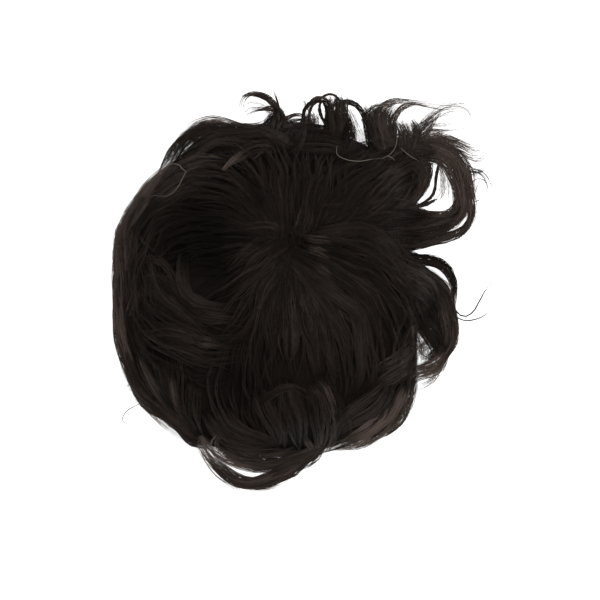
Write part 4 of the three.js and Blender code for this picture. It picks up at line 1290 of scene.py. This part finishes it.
def coat_finish():
    """Finish of the under-coat: dark, with a broken fine grain."""
    material, shader, nodes, links = new_material("dark_under_coat")
    set_inputs(shader, {"Roughness": 1, "Specular IOR Level": COAT_SPECULAR})
    place = nodes.new("ShaderNodeTexCoord")
    noise = add_node(nodes, "ShaderNodeTexNoise", COAT_GRAIN)
    tone = add_tone(nodes)
    bump = add_node(nodes, "ShaderNodeBump", COAT_BUMP)
    dim = add_math(nodes, "MULTIPLY", {1: COAT_TONE})
    links.new(place.outputs["Object"], noise.inputs["Vector"])
    links.new(noise.outputs["Fac"], dim.inputs[0])
    links.new(dim.outputs[0], tone.inputs["Tone"])
    links.new(tone.outputs["Color"], shader.inputs["Base Color"])
    links.new(noise.outputs["Fac"], bump.inputs["Height"])
    links.new(bump.outputs["Normal"], shader.inputs["Normal"])
    return material


def pale_finish():
    """Finish of the few pale hairs."""
    material, shader, _, _ = new_material("pale_hair")
    set_inputs(shader, {
        "Base Color": PALE_HAIR, "Roughness": PALE_ROUGHNESS, "Specular IOR Level": PALE_SPECULAR})
    return material


strand_material = strand_finish()
pale_hairs.data.materials.append(pale_finish())
for piece in hair_pieces:
    piece.data.materials.append(strand_material)
under_coat.data.materials.append(coat_finish())
print("pieces with the hair finish:", len(hair_pieces))

# %% [markdown]
# The finish of the net
#
# The base is a fine net of twisted threads. Real holes by the thousand would cost more than they
# show, so the threads are drawn from the edges between small cells and raised with a bump.

# %% Net finish
NET_THREAD = (0.085, 0.06, 0.045, 1)
NET_GAP = (0.014, 0.011, 0.009, 1)
NET_ROUGHNESS = 0.8
NET_CELLS = {"Scale": 620, "Randomness": 0.35}
NET_THREAD_EDGE = {"From Min": 0.1, "From Max": 0.2, "To Min": 1, "To Max": 0}
NET_BUMP = {"Strength": 0.7, "Distance": 0.0004}


def net_finish():
    """Finish of the base: fine threads over dark gaps."""
    material, shader, nodes, links = new_material("dark_net")
    set_inputs(shader, {"Roughness": NET_ROUGHNESS})
    place = nodes.new("ShaderNodeTexCoord")
    cells = nodes.new("ShaderNodeTexVoronoi")
    cells.feature = "DISTANCE_TO_EDGE"
    set_inputs(cells, NET_CELLS)
    thread = add_node(nodes, "ShaderNodeMapRange", NET_THREAD_EDGE)
    mix = add_colour_mix(nodes, NET_GAP, NET_THREAD)
    bump = add_node(nodes, "ShaderNodeBump", NET_BUMP)
    links.new(place.outputs["Object"], cells.inputs["Vector"])
    links.new(cells.outputs["Distance"], thread.inputs["Value"])
    links.new(thread.outputs["Result"], mix.inputs["Factor"])
    links.new(mix.outputs["Result"], shader.inputs["Base Color"])
    links.new(thread.outputs["Result"], bump.inputs["Height"])
    links.new(bump.outputs["Normal"], shader.inputs["Normal"])
    return material


net_base.data.materials.append(net_finish())
print("net finish:", net_base.data.materials[0].name)

# %% [markdown]
# Floor, light and camera
#
# The patch lies on a plain white floor and is seen straight from above. The light is a big soft panel
# over it and a grey surround, so the gloss shows only where the hair lies level. The floor glows a
# little, so that it stays white under the hair's edge.

# %% Floor
FLOOR_SIZE = 30
FLOOR_DROP = 0.0004
FLOOR_WHITE = (0.9, 0.9, 0.9, 1)
FLOOR_ROUGHNESS = 0.9
FLOOR_GLOW = 0.75
PURE_WHITE = (1, 1, 1, 1)

bm = bmesh.new()
bmesh.ops.create_grid(bm, x_segments=1, y_segments=1, size=FLOOR_SIZE / 2)
floor_mesh = bpy.data.meshes.new("floor")
bm.to_mesh(floor_mesh)
bm.free()
floor = add_object("floor", floor_mesh)
floor.location.z = -FLOOR_DROP
floor_material, floor_shader, _, _ = new_material("white_floor")
set_inputs(floor_shader, {
    "Base Color": FLOOR_WHITE, "Roughness": FLOOR_ROUGHNESS,
    "Emission Color": PURE_WHITE, "Emission Strength": FLOOR_GLOW})
floor.data.materials.append(floor_material)
print("floor width:", FLOOR_SIZE, "m")

# %% Light
PANEL_HEIGHT = 1.2
PANEL_RIGHT = 0.15
PANEL_BEHIND = 0.05
PANEL_SIZE = 0.7
PANEL_POWER = 11
SURROUND = 0.25

panel_data = bpy.data.lights.new("panel", "AREA")
panel_data.size = PANEL_SIZE
panel_data.energy = PANEL_POWER
panel = add_object("panel", panel_data)
panel.location = (PANEL_RIGHT, PANEL_BEHIND, PANEL_HEIGHT)
panel.rotation_euler = (-math.atan2(PANEL_BEHIND, PANEL_HEIGHT), math.atan2(PANEL_RIGHT, PANEL_HEIGHT), 0)

world = bpy.data.worlds.new("surround")
world.use_nodes = True
set_inputs(world.node_tree.nodes["Background"], {"Color": PURE_WHITE, "Strength": SURROUND})
bpy.context.scene.world = world
bpy.context.scene.view_settings.view_transform = "Standard"
print("panel:", PANEL_POWER, "W at", PANEL_HEIGHT, "m")

# %% Camera
PIXELS = 600
PIXELS_PER_MM = 1.6
PLAN_PIXEL = (290, 287)
CAMERA_HEIGHT = 1.3
OUTLINE_HEIGHT = 0.015

camera_data = bpy.data.cameras.new("camera")
camera = add_object("camera", camera_data)
right_of_plan = (PIXELS / 2 - PLAN_PIXEL[0]) / PIXELS_PER_MM * MM
behind_plan = (PLAN_PIXEL[1] - PIXELS / 2) / PIXELS_PER_MM * MM
camera.location = (PLAN_MIDDLE.x + right_of_plan, PLAN_MIDDLE.y + behind_plan, CAMERA_HEIGHT)
field = PIXELS / PIXELS_PER_MM * MM
camera_data.lens = camera_data.sensor_width * (CAMERA_HEIGHT - OUTLINE_HEIGHT) / field
bpy.context.scene.camera = camera
print("lens:", round(camera_data.lens, 1), "mm")
